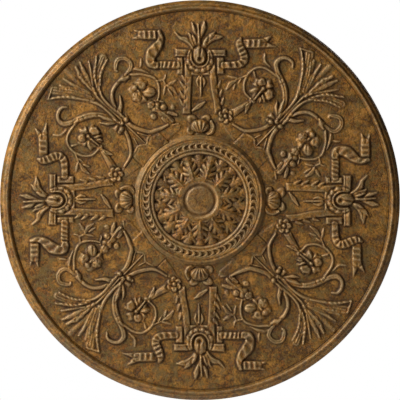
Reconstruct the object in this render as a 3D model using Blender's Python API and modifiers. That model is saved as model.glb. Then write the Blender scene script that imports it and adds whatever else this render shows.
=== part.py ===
"""Ceiling medallion: one moulded disc, carved on one face and flat behind.

The disc is drawn lying flat with its carved face up, then stood upright, so that the flat back is the plane
y = 0 and the carved face looks along -Y. Heights are metres in front of that back.

The carving is a free form. It repeats four times round the disc. Its places and widths are shares of the
disc's own diameter, written in drawing units, 400 of them to the diameter. Its heights are real sizes.
A place (across, out) is read with its motif at the top of the disc: across to the right, out from the
centre.
"""
import math

import bmesh
import bpy
from mathutils import Euler, Matrix, Vector

# The disc
OUTER_DIAMETER = 0.840
FIELD_THICKNESS = 0.016

# The rim: a groove, a raised bead and a reeded slope down to the edge
RIM_WIDTH = 0.024
RIM_GROOVE_DEPTH = 0.0012
RIM_RISE = 0.0085
RIM_GROOVE_WIDTH = 0.0024
RIM_BEAD_WIDTH = 0.0105
RIM_BEAD_CREST = 0.0042
RIM_SHOULDER_RISE = 0.0061
EDGE_THICKNESS = 0.013

# The boss: a ring carrying a chain of links round a dished rosette
BOSS_DIAMETER = 0.276
BOSS_SLOPE_WIDTH = 0.0135
BOSS_RISE = 0.0105
CHAIN_DIAMETER = 0.2255
CHAIN_GROOVE_WIDTH = 0.0175
CHAIN_GROOVE_DEPTH = 0.0026
LINK_COUNT = 53
LINK_RISE = 0.0034
LINK_OVERLAP = 1.24
LINK_WIDTH = 0.0126
FILLET_WIDTH = 0.0052
DISH_DEPTH = 0.0085
DISH_DIAMETER = 0.168

# The hub in the middle of the rosette, where a lamp's canopy or a hook plate sits
HUB_DIAMETER = 0.096
HUB_RISE = 0.0150
HUB_GROOVE_DIAMETER = 0.067
HUB_GROOVE_DEPTH = 0.0030
BUTTON_DIAMETER = 0.053
BUTTON_DROP = 0.0012
LEAF_COUNT = 11
LEAF_RISE = 0.0060
LEAF_SPREAD = 0.74
LEAF_ROOT = 0.4
LEAF_TURN = math.radians(15.7)

# Heights of the carving in front of the field
PLATE_RISE = 0.0018
STRAP_RISE = 0.0032
POST_RISE = 0.0055
CAP_RISE = 0.0070
RIBBON_RISE = 0.0085
BUD_RISE = 0.0125
PETAL_RISE = 0.0070
STEM_RISE = 0.0065
TENDRIL_RISE = 0.0038
SPRIG_RISE = 0.0030
WHEAT_RISE = 0.0045

# How far the flat shapes reach into the field, and how far the rounded ones sit into it
PLATE_ROOT = 0.0020
SEAT_DEPTH = 0.0004

# How finely the disc is turned, and the angle below which faces count as one flat
TURN_STEPS = 44
FLAT_ANGLE = math.radians(0.1)
QUARTERS = 4
UNIT = OUTER_DIAMETER / 400


def clear_scene():
    """Removes what the file opened with."""
    for item in list(bpy.data.objects):
        bpy.data.objects.remove(item, do_unlink=True)


def make_collection(name):
    """A collection linked to the scene."""
    group = bpy.data.collections.new(name)
    bpy.context.scene.collection.children.link(group)
    return group


def make_material():
    """The rubbed bronze finish."""
    finish = bpy.data.materials.new("rubbed_bronze")
    finish.use_nodes = True
    shader = finish.node_tree.nodes["Principled BSDF"]
    shader.inputs["Base Color"].default_value = (0.26, 0.145, 0.055, 1.0)
    shader.inputs["Roughness"].default_value = 0.48
    shader.inputs["Metallic"].default_value = 0.35
    return finish


def curve_to_mesh(curve, name):
    """The welded mesh of a curve, which a Boolean can take."""
    guide = bpy.data.objects.new(name + "_guide", curve)
    bpy.context.scene.collection.objects.link(guide)
    bpy.context.view_layer.update()
    seen = guide.evaluated_get(bpy.context.evaluated_depsgraph_get())
    mesh = bpy.data.meshes.new_from_object(seen)
    mesh.name = name
    body = bmesh.new()
    body.from_mesh(mesh)
    bmesh.ops.remove_doubles(body, verts=body.verts, dist=0.00001)
    body.to_mesh(mesh)
    body.free()
    bpy.data.objects.remove(guide, do_unlink=True)
    return mesh


def squeeze(mesh, share, lift):
    """Changes a mesh's height by a share and lifts it to the field."""
    mesh.transform(Matrix.Translation((0, 0, lift)) @ Matrix.Diagonal((1, 1, share, 1)))
    return mesh


def stroke(name, path, width, rise, taper=(0.5, 1.0, 1.0, 0.5)):
    """A ridged stem, leaf or fold along a line, thinner towards its ends as the taper says."""
    curve = bpy.data.curves.new(name, "CURVE")
    curve.dimensions = "3D"
    curve.twist_mode = "Z_UP"
    curve.bevel_depth = 0.5 * width * UNIT
    curve.bevel_resolution = 0
    curve.use_fill_caps = True
    curve.resolution_u = 1
    spline = curve.splines.new("BEZIER")
    spline.bezier_points.add(len(path) - 1)
    for index, (across, out) in enumerate(path):
        knot = spline.bezier_points[index]
        knot.co = (across * UNIT, out * UNIT, 0)
        knot.handle_left_type = "AUTO"
        knot.handle_right_type = "AUTO"
        along = index / (len(path) - 1) * (len(taper) - 1)
        low = min(int(along), len(taper) - 2)
        knot.radius = taper[low] + (taper[low + 1] - taper[low]) * (along - low)
    mesh = curve_to_mesh(curve, name)
    return squeeze(mesh, rise / curve.bevel_depth, FIELD_THICKNESS - SEAT_DEPTH)


def plate(name, outline, rise):
    """A flat raised shape with upright sides."""
    curve = bpy.data.curves.new(name, "CURVE")
    curve.dimensions = "2D"
    curve.fill_mode = "BOTH"
    curve.extrude = 0.5 * (rise + PLATE_ROOT)
    spline = curve.splines.new("POLY")
    spline.points.add(len(outline) - 1)
    for point, (across, out) in zip(spline.points, outline):
        point.co = (across * UNIT, out * UNIT, 0, 1)
    spline.use_cyclic_u = True
    mesh = curve_to_mesh(curve, name)
    return squeeze(mesh, 1, FIELD_THICKNESS + 0.5 * (rise - PLATE_ROOT))


def bead(name, place, size, rise, lean=0.0, sides=6, rings=4):
    """A rounded lump, such as a bead or petal, leaning by degrees to the left. Two rings point it."""
    body = bmesh.new()
    bmesh.ops.create_uvsphere(body, u_segments=sides, v_segments=rings, radius=1)
    mesh = bpy.data.meshes.new(name)
    body.to_mesh(mesh)
    body.free()
    shape = Matrix.Diagonal((0.5 * size[0] * UNIT, 0.5 * size[1] * UNIT, rise, 1))
    spot = Matrix.Translation((place[0] * UNIT, place[1] * UNIT, FIELD_THICKNESS - SEAT_DEPTH))
    mesh.transform(spot @ Matrix.Rotation(math.radians(lean), 4, "Z") @ shape)
    return mesh


def bar(name, place, size, rise):
    """A flat bar or block with square corners."""
    left, right = place[0] - 0.5 * size[0], place[0] + 0.5 * size[0]
    low, high = place[1] - 0.5 * size[1], place[1] + 0.5 * size[1]
    return plate(name, [(left, low), (right, low), (right, high), (left, high)], rise)


def trophy():
    """The upright trophy: two notched posts, capped blocks, a bud in its collar and a palmette."""
    left_foot, left_head = [(-9, 87), (-17.3, 87)], [(-15.3, 150), (-10, 150), (-7.7, 125)]
    left_notches = [(-17, 96), (-20, 101), (-16.2, 104), (-20, 109), (-15.6, 113), (-20, 119), (-15, 122)]
    right_foot, right_head = [(22, 87), (14.7, 87), (10.6, 110)], [(9.3, 125), (10, 150), (15.3, 150)]
    right_notches = [(16.7, 124), (20, 120.5), (17.3, 115), (21.3, 112), (18.8, 106), (22.7, 103),
                     (21.5, 98)]
    yield plate("post_left", left_foot + left_notches + left_head, POST_RISE)
    yield plate("post_right", right_foot + right_head + right_notches, POST_RISE * 0.98)
    yield bar("crossbar", (0.6, 128), (20, 6), POST_RISE * 0.9)
    yield bar("cap_left", (-16.7, 146.6), (16, 6.6), CAP_RISE)
    yield bar("cap_right", (16.9, 147), (17.6, 6.6), CAP_RISE * 0.98)
    yield bar("block_left", (-19.7, 134.5), (6, 16.6), POST_RISE * 1.1)
    yield bar("block_right", (20.5, 134.5), (7, 16.4), POST_RISE * 1.08)
    yield stroke("collar", [(-10, 147.5), (-11, 139), (-6.5, 132.5), (5.5, 132.5), (10.3, 139),
                            (8.6, 147.5)], 5,
                 RIBBON_RISE, (0.5, 1, 1.2, 1, 0.5))
    yield bead("bud", (-0.5, 145), (11, 17.5), BUD_RISE, 0, 8)
    yield stroke("palmette_leaf_left", [(-5, 153), (-10, 161), (-18, 163), (-24.5, 168)], 4.8, STEM_RISE)
    yield stroke("palmette_leaf_right", [(4.7, 153), (9, 160.5), (17, 162), (23.7, 164.5)], 4.8,
                 STEM_RISE * 0.98)
    yield stroke("palmette_frond_left", [(-2, 154), (-4.3, 161.7), (-8.7, 167.4)], 3.6, STEM_RISE * 0.9)
    yield stroke("palmette_frond_right", [(1.6, 154), (4.7, 161.7), (8.7, 167.7)], 3.6, STEM_RISE * 0.88)
    yield stroke("palmette_stem", [(-0.3, 153), (-1.2, 177)], 4.2, STEM_RISE)
    yield bead("palmette_tip_left", (-5.4, 173.6), (3.6, 13), STEM_RISE * 0.8, 22, 5, 2)
    yield bead("palmette_tip_right", (3.1, 173.6), (3.6, 13), STEM_RISE * 0.8, -14, 5, 2)
    yield stroke("husk_left", [(-0.6, 123.5), (-2.5, 118), (0.8, 109)], 3.8, STEM_RISE)
    yield stroke("husk_right", [(2.4, 123.5), (4.6, 118), (1.2, 104)], 3.8, STEM_RISE * 0.98)
    yield bead("panel_leaf", (-1, 93.8), (14, 5.4), STEM_RISE, 34, 6, 2)


def ribbons():
    """The folded ribbons that fly out on both sides of the trophy."""
    yield bar("ribbon_band_left", (-36, 135), (26, 8.4), RIBBON_RISE * 0.8)
    yield plate("ribbon_fold_left", [(-49, 135), (-53, 142.5), (-52, 149), (-42, 161), (-40, 168.5),
                                     (-36, 163.5),
                                     (-35.5, 158.5), (-42.5, 146), (-43.5, 137)], RIBBON_RISE)
    yield plate("ribbon_tail_left", [(-40, 160.5), (-40, 169.5), (-52, 170.5), (-64, 170), (-60, 164.8),
                                     (-67, 160.5), (-54, 160)], RIBBON_RISE * 0.7)
    yield bar("ribbon_band_right", (35.5, 135.2), (24, 8), RIBBON_RISE * 0.78)
    yield plate("ribbon_fold_right", [(47.8, 138), (47.3, 145.5), (44.5, 150.5), (40, 160), (37, 155),
                                      (36, 150),
                                      (40, 144), (42, 138)], RIBBON_RISE * 0.98)
    yield plate("ribbon_tail_right", [(39.5, 152), (58, 151.5), (76, 154.5), (67, 157.5), (72.5, 165),
                                      (56, 162.5),
                                      (40, 161)], RIBBON_RISE * 0.68)


def shell_knob():
    """The fluted knob on five lobes that seats the trophy on the boss."""
    yield bead("knob", (0.3, 74), (17.5, 14), BUD_RISE * 0.98, 0, 8)
    lobes = [(-8, 81.5, 11.5), (5, 82, 11.5), (-9.5, 68.8, 8), (10.6, 71.5, 9.5), (0.3, 65.8, 7)]
    for number, (across, out, size) in enumerate(lobes):
        yield bead(f"knob_lobe_{number}", (across, out), (size, size), PETAL_RISE * (0.6 + 0.045 * size), 0,
                   5)


def strapwork():
    """The low strap plates between the boss and the corner scrolls."""
    yield plate("strap_plate", [(-39, 69.5), (-35, 75.8), (-18, 78.8), (-20, 66)], PLATE_RISE)
    yield plate("strap_plate_right", [(32, 75), (41, 66.5), (17, 65.5), (18, 77.8)], PLATE_RISE * 0.96)
    yield plate("strap_block", [(-17, 63), (-17, 79), (-5, 81.5), (1.5, 77.7), (8, 81.3), (20, 77.2),
                                (18.5, 63)],
                STRAP_RISE)


def corner_scrolls():
    """The tied stalks in the corner, with the scrolls and rings that spring from them on both sides."""
    yield stroke("stalk_left", [(-2.5, 110), (-5, 98), (-15, 82.5), (-31, 77)], 4.4, STEM_RISE)
    yield stroke("stalk_right", [(3.5, 110), (6, 96), (14, 83.5), (31, 76)], 5, STEM_RISE * 0.98)
    yield stroke("stalk_middle", [(1, 110), (1.4, 79)], 2.8, STEM_RISE * 0.8)
    for number, (across, size) in enumerate([(-4.6, 8), (3.9, 8.4)]):
        yield bead(f"tie_{number}", (across, 109.8), (size, size), BUD_RISE * 0.8, 0, 5)
    yield stroke("scroll_left", [(-1, 111), (-5, 125), (-15, 136.5), (-27, 141)], 4.6, STEM_RISE)
    yield stroke("scroll_right", [(4, 112), (7.5, 129), (15, 138.5), (28, 141.5)], 4.6, STEM_RISE * 0.98)
    yield stroke("scroll_leaf_left", [(-2.5, 114), (-7, 120.5), (-18, 127)], 5.4, RIBBON_RISE)
    yield stroke("scroll_leaf_right", [(4.5, 115), (8, 121.5), (17, 129.5)], 4.6, RIBBON_RISE * 0.9)
    yield stroke("sheath_left", [(-24, 139.5), (-38, 142)], 7.5, PETAL_RISE, (0.7, 1.0))
    yield stroke("sheath_right", [(28.5, 140.5), (38, 140.5)], 7.5, PETAL_RISE * 0.98, (0.7, 1.0))
    yield stroke("hook_left", [(-30, 144), (-41, 149), (-42.8, 158), (-36, 163.5), (-28.5, 159)], 4.6,
                 STEM_RISE)
    yield stroke("hook_right", [(35, 142), (45.5, 142), (47.5, 151), (39, 157), (32.8, 150)], 4.8,
                 STEM_RISE * 0.98)
    yield stroke("ring_left", [(-38, 141), (-49, 138), (-55, 129), (-54, 118), (-47, 109.5), (-36, 107.5)],
                 3,
                 TENDRIL_RISE, (1, 1))
    yield stroke("ring_right", [(37, 140), (46.5, 132), (53, 122), (53.3, 112), (48, 105), (40, 100.5)], 3,
                 TENDRIL_RISE, (1, 1))


def rosettes():
    """A flower of four petals inside each ring."""
    left_petals = [(-34.5, 132, 14, 8.5), (-24.5, 124, 7, 10), (-27.3, 114.5, 7, 9), (-42, 119, 7, 13)]
    right_petals = [(34.3, 127.3, 14, 8), (25.8, 119, 7.5, 9), (43, 115, 8, 12), (31, 109.8, 12, 8)]
    flowers = {"left": ((-33.3, 122.5), left_petals), "right": ((34, 119), right_petals)}
    for side, (middle, petals) in flowers.items():
        yield bead(f"rosette_{side}", middle, (8, 8), BUD_RISE * 0.72, 0, 5)
        for number, (across, out, wide, long) in enumerate(petals):
            rings = 4 if max(wide, long) > 8 else 2
            yield bead(f"rosette_{side}_petal_{number}", (across, out), (wide, long), PETAL_RISE, 0, 5,
                       rings)


def cups_and_berries():
    """The flared cup, the spindle and the berries that hang inwards from the rings."""
    yield plate("cup", [(-32.5, 106), (-37, 106), (-40, 98), (-48.5, 84), (-42, 77), (-33, 80),
                        (-34.5, 93)],
                STEM_RISE * 0.7)
    yield bead("cup_knot", (-34, 107.6), (7, 6.4), PETAL_RISE * 0.9, 0, 5)
    yield bead("daisy", (-41.2, 77.5), (16, 16), PETAL_RISE, 0, 8)
    yield stroke("spindle", [(32.5, 104), (34.5, 92), (35.5, 74)], 11, PETAL_RISE, (0.45, 1.0, 0.75, 0.5))
    yield bead("spindle_lobe", (43.5, 77.8), (9, 7), PETAL_RISE * 0.8, 0, 5, 2)
    yield bead("berry_left", (26.3, 91.5), (7.4, 7.4), PETAL_RISE * 0.95, 0, 5)
    yield bead("berry_right", (41, 91.5), (6.6, 6.6), PETAL_RISE * 0.9, 0, 5)


def sprigs():
    """The small leaves outside the rings."""
    leaves = [(-59.2, 103.5, 5.4, 14, 0), (-64, 110, 4.2, 10, -58), (58.3, 98, 5, 13, 2),
              (63, 102.6, 4.4, 11, 78)]
    for number, (across, out, wide, long, lean) in enumerate(leaves):
        yield bead(f"sprig_leaf_{number}", (across, out), (wide, long), SPRIG_RISE, lean, 5, 2)


def wheat_fan():
    """The fan of ears and blades above the tie."""
    yield stroke("wheat_trunk", [(0, 111), (0.5, 145)], 5.4, WHEAT_RISE * 1.1, (0.8, 1.1))
    yield stroke("wheat_blade_left", [(-2, 141), (-12, 158.5), (-31, 180.5)], 9, WHEAT_RISE,
                 (0.45, 0.9, 1.0))
    yield stroke("wheat_ear_left", [(-2, 148), (-9, 164), (-14, 179.5)], 9, WHEAT_RISE * 0.9,
                 (0.4, 1.0, 0.5))
    yield stroke("wheat_ear_middle", [(1, 145), (3, 168), (6.5, 181)], 8, WHEAT_RISE, (0.4, 1.1, 0.4))
    yield stroke("wheat_leaf_right", [(4, 154), (10, 166.5), (15.6, 178)], 4, WHEAT_RISE * 0.8,
                 (0.5, 1.0, 0.5))
    yield stroke("wheat_blade_right", [(2, 142), (12, 155.5), (31, 169)], 11, WHEAT_RISE, (0.4, 0.8, 1.0))


def chain_links():
    """The links that overlap one another round the boss, each a lump in its groove."""
    radius = 0.5 * CHAIN_DIAMETER
    floor = FIELD_THICKNESS + BOSS_RISE - CHAIN_GROOVE_DEPTH
    half_long = LINK_OVERLAP * math.pi * radius / LINK_COUNT
    half_wide = 0.5 * LINK_WIDTH
    body = bmesh.new()
    bmesh.ops.create_cone(body, segments=3, radius1=half_long, radius2=0, depth=2 * LINK_RISE,
                          cap_ends=True)
    bmesh.ops.scale(body, vec=(1, half_wide / half_long, 1), verts=body.verts)
    mesh = bpy.data.meshes.new("chain_link")
    body.to_mesh(mesh)
    body.free()
    mesh.transform(Matrix.Translation((0, radius, floor)))
    for number in range(LINK_COUNT):
        yield f"chain_link_{number:02d}", mesh, -2 * math.pi * number / LINK_COUNT


def rosette_leaves():
    """The leaves that fall from the hub into the dish, widest near their tips."""
    start = 0.5 * HUB_DIAMETER / UNIT - 1.0
    low = 0.5 * DISH_DIAMETER / UNIT
    pitch = 2 * math.pi / LEAF_COUNT
    width = 2 * low * math.tan(0.5 * pitch) * LEAF_SPREAD
    leaf = stroke("dish_leaf", [(0, start), (0, low - 1)], width, LEAF_RISE, (LEAF_ROOT, 1.0))
    fall = math.atan2(HUB_RISE + DISH_DEPTH - BOSS_RISE, 0.5 * (DISH_DIAMETER - HUB_DIAMETER))
    hinge = Vector((0, 0.5 * HUB_DIAMETER, FIELD_THICKNESS))
    settle = Matrix.Translation(hinge) @ Matrix.Rotation(-fall, 4, "X") @ Matrix.Translation(-hinge)
    leaf.transform(Matrix.Translation((0, 0, HUB_RISE - LEAF_ROOT * LEAF_RISE)) @ settle)
    for number in range(LEAF_COUNT):
        yield f"dish_leaf_{number:02d}", leaf, -LEAF_TURN - pitch * number


def disc_profile():
    """The disc's section from the middle of its face, out over the rim and back along the flat back."""
    outer = 0.5 * OUTER_DIAMETER
    field = FIELD_THICKNESS
    boss_top = field + BOSS_RISE
    dish = boss_top - DISH_DEPTH
    groove_floor = boss_top - CHAIN_GROOVE_DEPTH
    hub = field + HUB_RISE
    button = hub - BUTTON_DROP
    chain = 0.5 * CHAIN_DIAMETER
    chain_half = 0.5 * CHAIN_GROOVE_WIDTH
    rim = outer - RIM_WIDTH
    bead_start = rim + RIM_GROOVE_WIDTH
    return [
        (0, button),
        (0.5 * BUTTON_DIAMETER, button),
        (0.5 * HUB_GROOVE_DIAMETER, hub - HUB_GROOVE_DEPTH),
        (0.5 * HUB_GROOVE_DIAMETER + HUB_GROOVE_DEPTH, hub),
        (0.5 * HUB_DIAMETER, hub),
        (0.5 * DISH_DIAMETER, dish),
        (chain - chain_half - 0.5 * FILLET_WIDTH, boss_top),
        (chain - chain_half, groove_floor),
        (chain + chain_half, groove_floor),
        (0.5 * BOSS_DIAMETER - BOSS_SLOPE_WIDTH, boss_top),
        (0.5 * BOSS_DIAMETER, field),
        (rim, field),
        (bead_start, field - RIM_GROOVE_DEPTH),
        (bead_start + RIM_BEAD_CREST, field + RIM_RISE),
        (bead_start + RIM_BEAD_WIDTH, field + RIM_SHOULDER_RISE),
        (outer, EDGE_THICKNESS),
        (outer, 0),
        (0, 0),
    ]


def merge_flats(piece, name):
    """Makes each flat area one face."""
    flats = piece.modifiers.new(name, "DECIMATE")
    flats.decimate_type = "DISSOLVE"
    flats.angle_limit = FLAT_ANGLE


def make_disc(group, stand, finish):
    """The turned disc."""
    section = disc_profile()
    mesh = bpy.data.meshes.new("medallion")
    corners = [(radius, 0, height) for radius, height in section]
    edges = [(index, index + 1) for index in range(len(corners) - 1)]
    mesh.from_pydata(corners, edges, [])
    mesh.materials.append(finish)
    disc = bpy.data.objects.new("medallion", mesh)
    group.objects.link(disc)
    disc.parent = stand
    screw = disc.modifiers.new("turned", "SCREW")
    screw.axis = "Z"
    screw.steps = TURN_STEPS
    screw.render_steps = TURN_STEPS
    screw.use_smooth_shade = False
    screw.use_merge_vertices = True
    screw.merge_threshold = 0.00005
    merge_flats(disc, "whole_field")
    return disc


def place(group, stand, name, mesh, turn):
    """One piece of carving as an operand, turned round the disc's middle."""
    piece = bpy.data.objects.new(name, mesh)
    piece.parent = stand
    piece.rotation_euler = Euler((0, 0, turn))
    piece.hide_render = True
    piece.display_type = "WIRE"
    group.objects.link(piece)


def place_carving(group, stand):
    """Every piece of carving, the repeated quarters four times round."""
    upright = [trophy, ribbons, shell_knob]
    corner = [strapwork, corner_scrolls, rosettes, cups_and_berries, sprigs, wheat_fan]
    motifs = [(motif, 0.0) for motif in upright] + [(motif, -0.25 * math.pi) for motif in corner]
    for motif, lead in motifs:
        for mesh in motif():
            for quarter in range(QUARTERS):
                turn = lead - 2 * math.pi * quarter / QUARTERS
                place(group, stand, f"{mesh.name}_{quarter}", mesh, turn)
    for ring in (chain_links, rosette_leaves):
        for name, mesh, turn in ring():
            place(group, stand, name, mesh, turn)


def main():
    """Builds the medallion."""
    clear_scene()
    group = make_collection("ceiling_medallion")
    carving = make_collection("carving_operands")
    stand = bpy.data.objects.new("upright", None)
    stand.rotation_euler = Euler((math.radians(90), 0, 0))
    group.objects.link(stand)
    disc = make_disc(group, stand, make_material())
    place_carving(carving, stand)
    union = disc.modifiers.new("carving", "BOOLEAN")
    union.operation = "UNION"
    union.solver = "EXACT"
    union.operand_type = "COLLECTION"
    union.collection = carving
    merge_flats(disc, "whole_faces")


main()
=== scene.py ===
"""The looks of a round ceiling medallion with carved scrollwork and a rubbed bronze finish.

The carving is laid out in drawing units, 400 of them to the medallion's diameter. A place (across, out)
is read with its motif at the top of the disc: across to the right, out from the centre. Rises are
millimetres in front of the plain field. The same quarter of carving repeats four times round the disc.
"""
import math

import bpy
import numpy as np
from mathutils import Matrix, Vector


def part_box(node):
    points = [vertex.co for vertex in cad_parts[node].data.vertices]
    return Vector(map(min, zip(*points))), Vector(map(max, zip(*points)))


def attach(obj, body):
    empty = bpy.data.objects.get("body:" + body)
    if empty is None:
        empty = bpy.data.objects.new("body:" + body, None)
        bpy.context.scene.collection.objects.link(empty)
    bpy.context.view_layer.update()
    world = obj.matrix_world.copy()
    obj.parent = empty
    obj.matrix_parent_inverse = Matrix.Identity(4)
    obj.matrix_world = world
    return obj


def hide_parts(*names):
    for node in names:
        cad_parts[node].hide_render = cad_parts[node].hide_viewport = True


bl_info = {
    "name": "Carved Ceiling Medallion",
    "version": (1, 0, 0),
    "blender": (4, 5, 0),
    "location": "View3D > Sidebar > Medallion",
    "description": "Builds the carved relief, the bronze finish and the studio of a round ceiling medallion",
    "category": "Add Mesh",
}

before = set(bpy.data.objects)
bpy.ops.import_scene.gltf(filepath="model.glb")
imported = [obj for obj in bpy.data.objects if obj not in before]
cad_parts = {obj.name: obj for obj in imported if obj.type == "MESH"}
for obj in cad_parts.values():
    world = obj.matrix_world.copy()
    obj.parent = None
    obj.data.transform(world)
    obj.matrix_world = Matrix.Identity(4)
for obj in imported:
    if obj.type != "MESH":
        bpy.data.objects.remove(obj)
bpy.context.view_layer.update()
LOW_CORNER, HIGH_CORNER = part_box("medallion")

QUARTERS = 4
LEAF_COUNT = 11
LINK_COUNT = 53
DRAWING_WIDTH = 400.0
TRIANGLE_LIMIT = 200000

# Steps of a smooth line from one of its points to the next, and drawing units across which a moat fades
PATH_STEPS = 7
MOAT_WIDTH = 1.5

# Radii in drawing units: where one turned part meets the next, the leaves' tips and the middle of the chain
CENTRE_EDGE = 3.0
HUB_GROOVE_EDGE = 20.0
HUB_EDGE = 21.4
LEAF_TIP = 47.0
ROSETTE_EDGE = 49.2
CHAIN_MIDDLE = 53.7
BOSS_EDGE = 66.2
DIP_START = 186.4
FIELD_EDGE = 188.6

# The compass angle in degrees of the first leaf of the rosette
FIRST_LEAF = 15.7

# Half the width of a link in drawing units, and the back's cut corner: drawing units in and metres forward
LINK_HALF_WIDTH = 4.2
BACK_CORNER = (0.3, 0.0006)

# Metres that the back's plate reaches into the carved pieces
SEAT_OVERLAP = 0.0015

# Metres from the flat back to the plain field
FACE_HEIGHT = 0.016

# Rises in millimetres in front of the field, and for a link in front of its groove
PLATE = 1.8
STRAP = 3.0
SPRIG = 3.4
TENDRIL = 4.2
WHEAT = 4.6
LINK = 4.8
POST = 5.0
STEM = 6.2
PETAL = 7.0
CAP = 6.6
RIBBON = 8.0
BUD = 11.5

# The levels of noise at which the tones and the patches of the finish begin and are full. The last one's
# mask also carries painted shade from the hollows.
TONE_SPAN = (0.505, 0.675)
RUST_SPAN = (0.52, 0.64)
OLIVE_SPAN = (0.51, 0.62)
ASH_SPAN = (0.54, 0.66)
SPECK_SHADE_SPAN = (0.62, 0.76)

# Metres from the centre between which the dull colour of the hub fades out
HUB_FADE = (0.038, 0.048)

# The studio: metres, colours, and a lens in millimetres
LIGHT_DISTANCE = 3.6
FLOOR_SIDES = (-1.7, 1.7, -1.9, 1.1)
FLOOR_DROP = 0.075
FLOOR_FLECK = (0.9, 0.9, 0.89, 1.0)
FILL_COLOUR = (1.0, 0.92, 0.78, 1.0)
WHITE = (1.0, 1.0, 1.0, 1.0)
FOCAL_LENGTH = 300.0
SENSOR_WIDTH = 36.0
CLIP_END = 60.0
CAMERA_SHIFT = (0.00012, 0.00032)
MIDDLE_LEVEL = 0.5 * (HIGH_CORNER[2] + LOW_CORNER[2])

# The disc's radius in drawing units on a frame that is 400 of them wide
RADIUS_IN_FRAME = 200.24

# Each light's compass angle on the disc's face, its height in front of the face, its width and its colour.
# The first three are in degrees.
LIGHTS = {
    "key": (304.0, 40.0, 9.0, (1.0, 0.965, 0.90)),
    "raking": (302.0, 18.0, 20.0, (1.0, 0.97, 0.92)),
    "back": (40.0, -62.0, 30.0, (1.0, 0.98, 0.95)),
}


def smooth_step(values):
    """A soft ramp from 0 to 1."""
    held = np.clip(values, 0.0, 1.0)
    return held * held * (3.0 - 2.0 * held)


def smooth_path(points):
    """A smooth line through the points, and how far along it each of its places is, from 0 to 1."""
    knots = np.array(points, dtype=float)
    if len(knots) == 2:
        share = np.linspace(0.0, 1.0, 5)[:, None]
        line = knots[0] * (1 - share) + knots[1] * share
        return line, share[:, 0]
    padded = np.vstack([2 * knots[0] - knots[1], knots, 2 * knots[-1] - knots[-2]])
    places = []
    shares = []
    spans = len(knots) - 1
    for span in range(spans):
        before, start, end, after = padded[span:span + 4]
        for step in range(PATH_STEPS + (span == spans - 1)):
            t = step / PATH_STEPS
            curve = (2 * before - 5 * start + 4 * end - after) * t * t
            twist = (3 * start - before - 3 * end + after) * t ** 3
            places.append(0.5 * (2 * start + (end - before) * t + curve + twist))
            shares.append((span + t) / spans)
    return np.array(places), np.array(shares)


def between(share, values):
    """The value at a share of the way along evenly spaced values."""
    return np.interp(share, np.linspace(0, 1, len(values)), values)


def off_segment(u, v, start, step):
    """For some points: their share along a segment, and how far they are off it across and out."""
    part = np.clip(((u - start[0]) * step[0] + (v - start[1]) * step[1]) / max(step @ step, 1e-9), 0, 1)
    return part, u - start[0] - part * step[0], v - start[1] - part * step[1]


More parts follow.
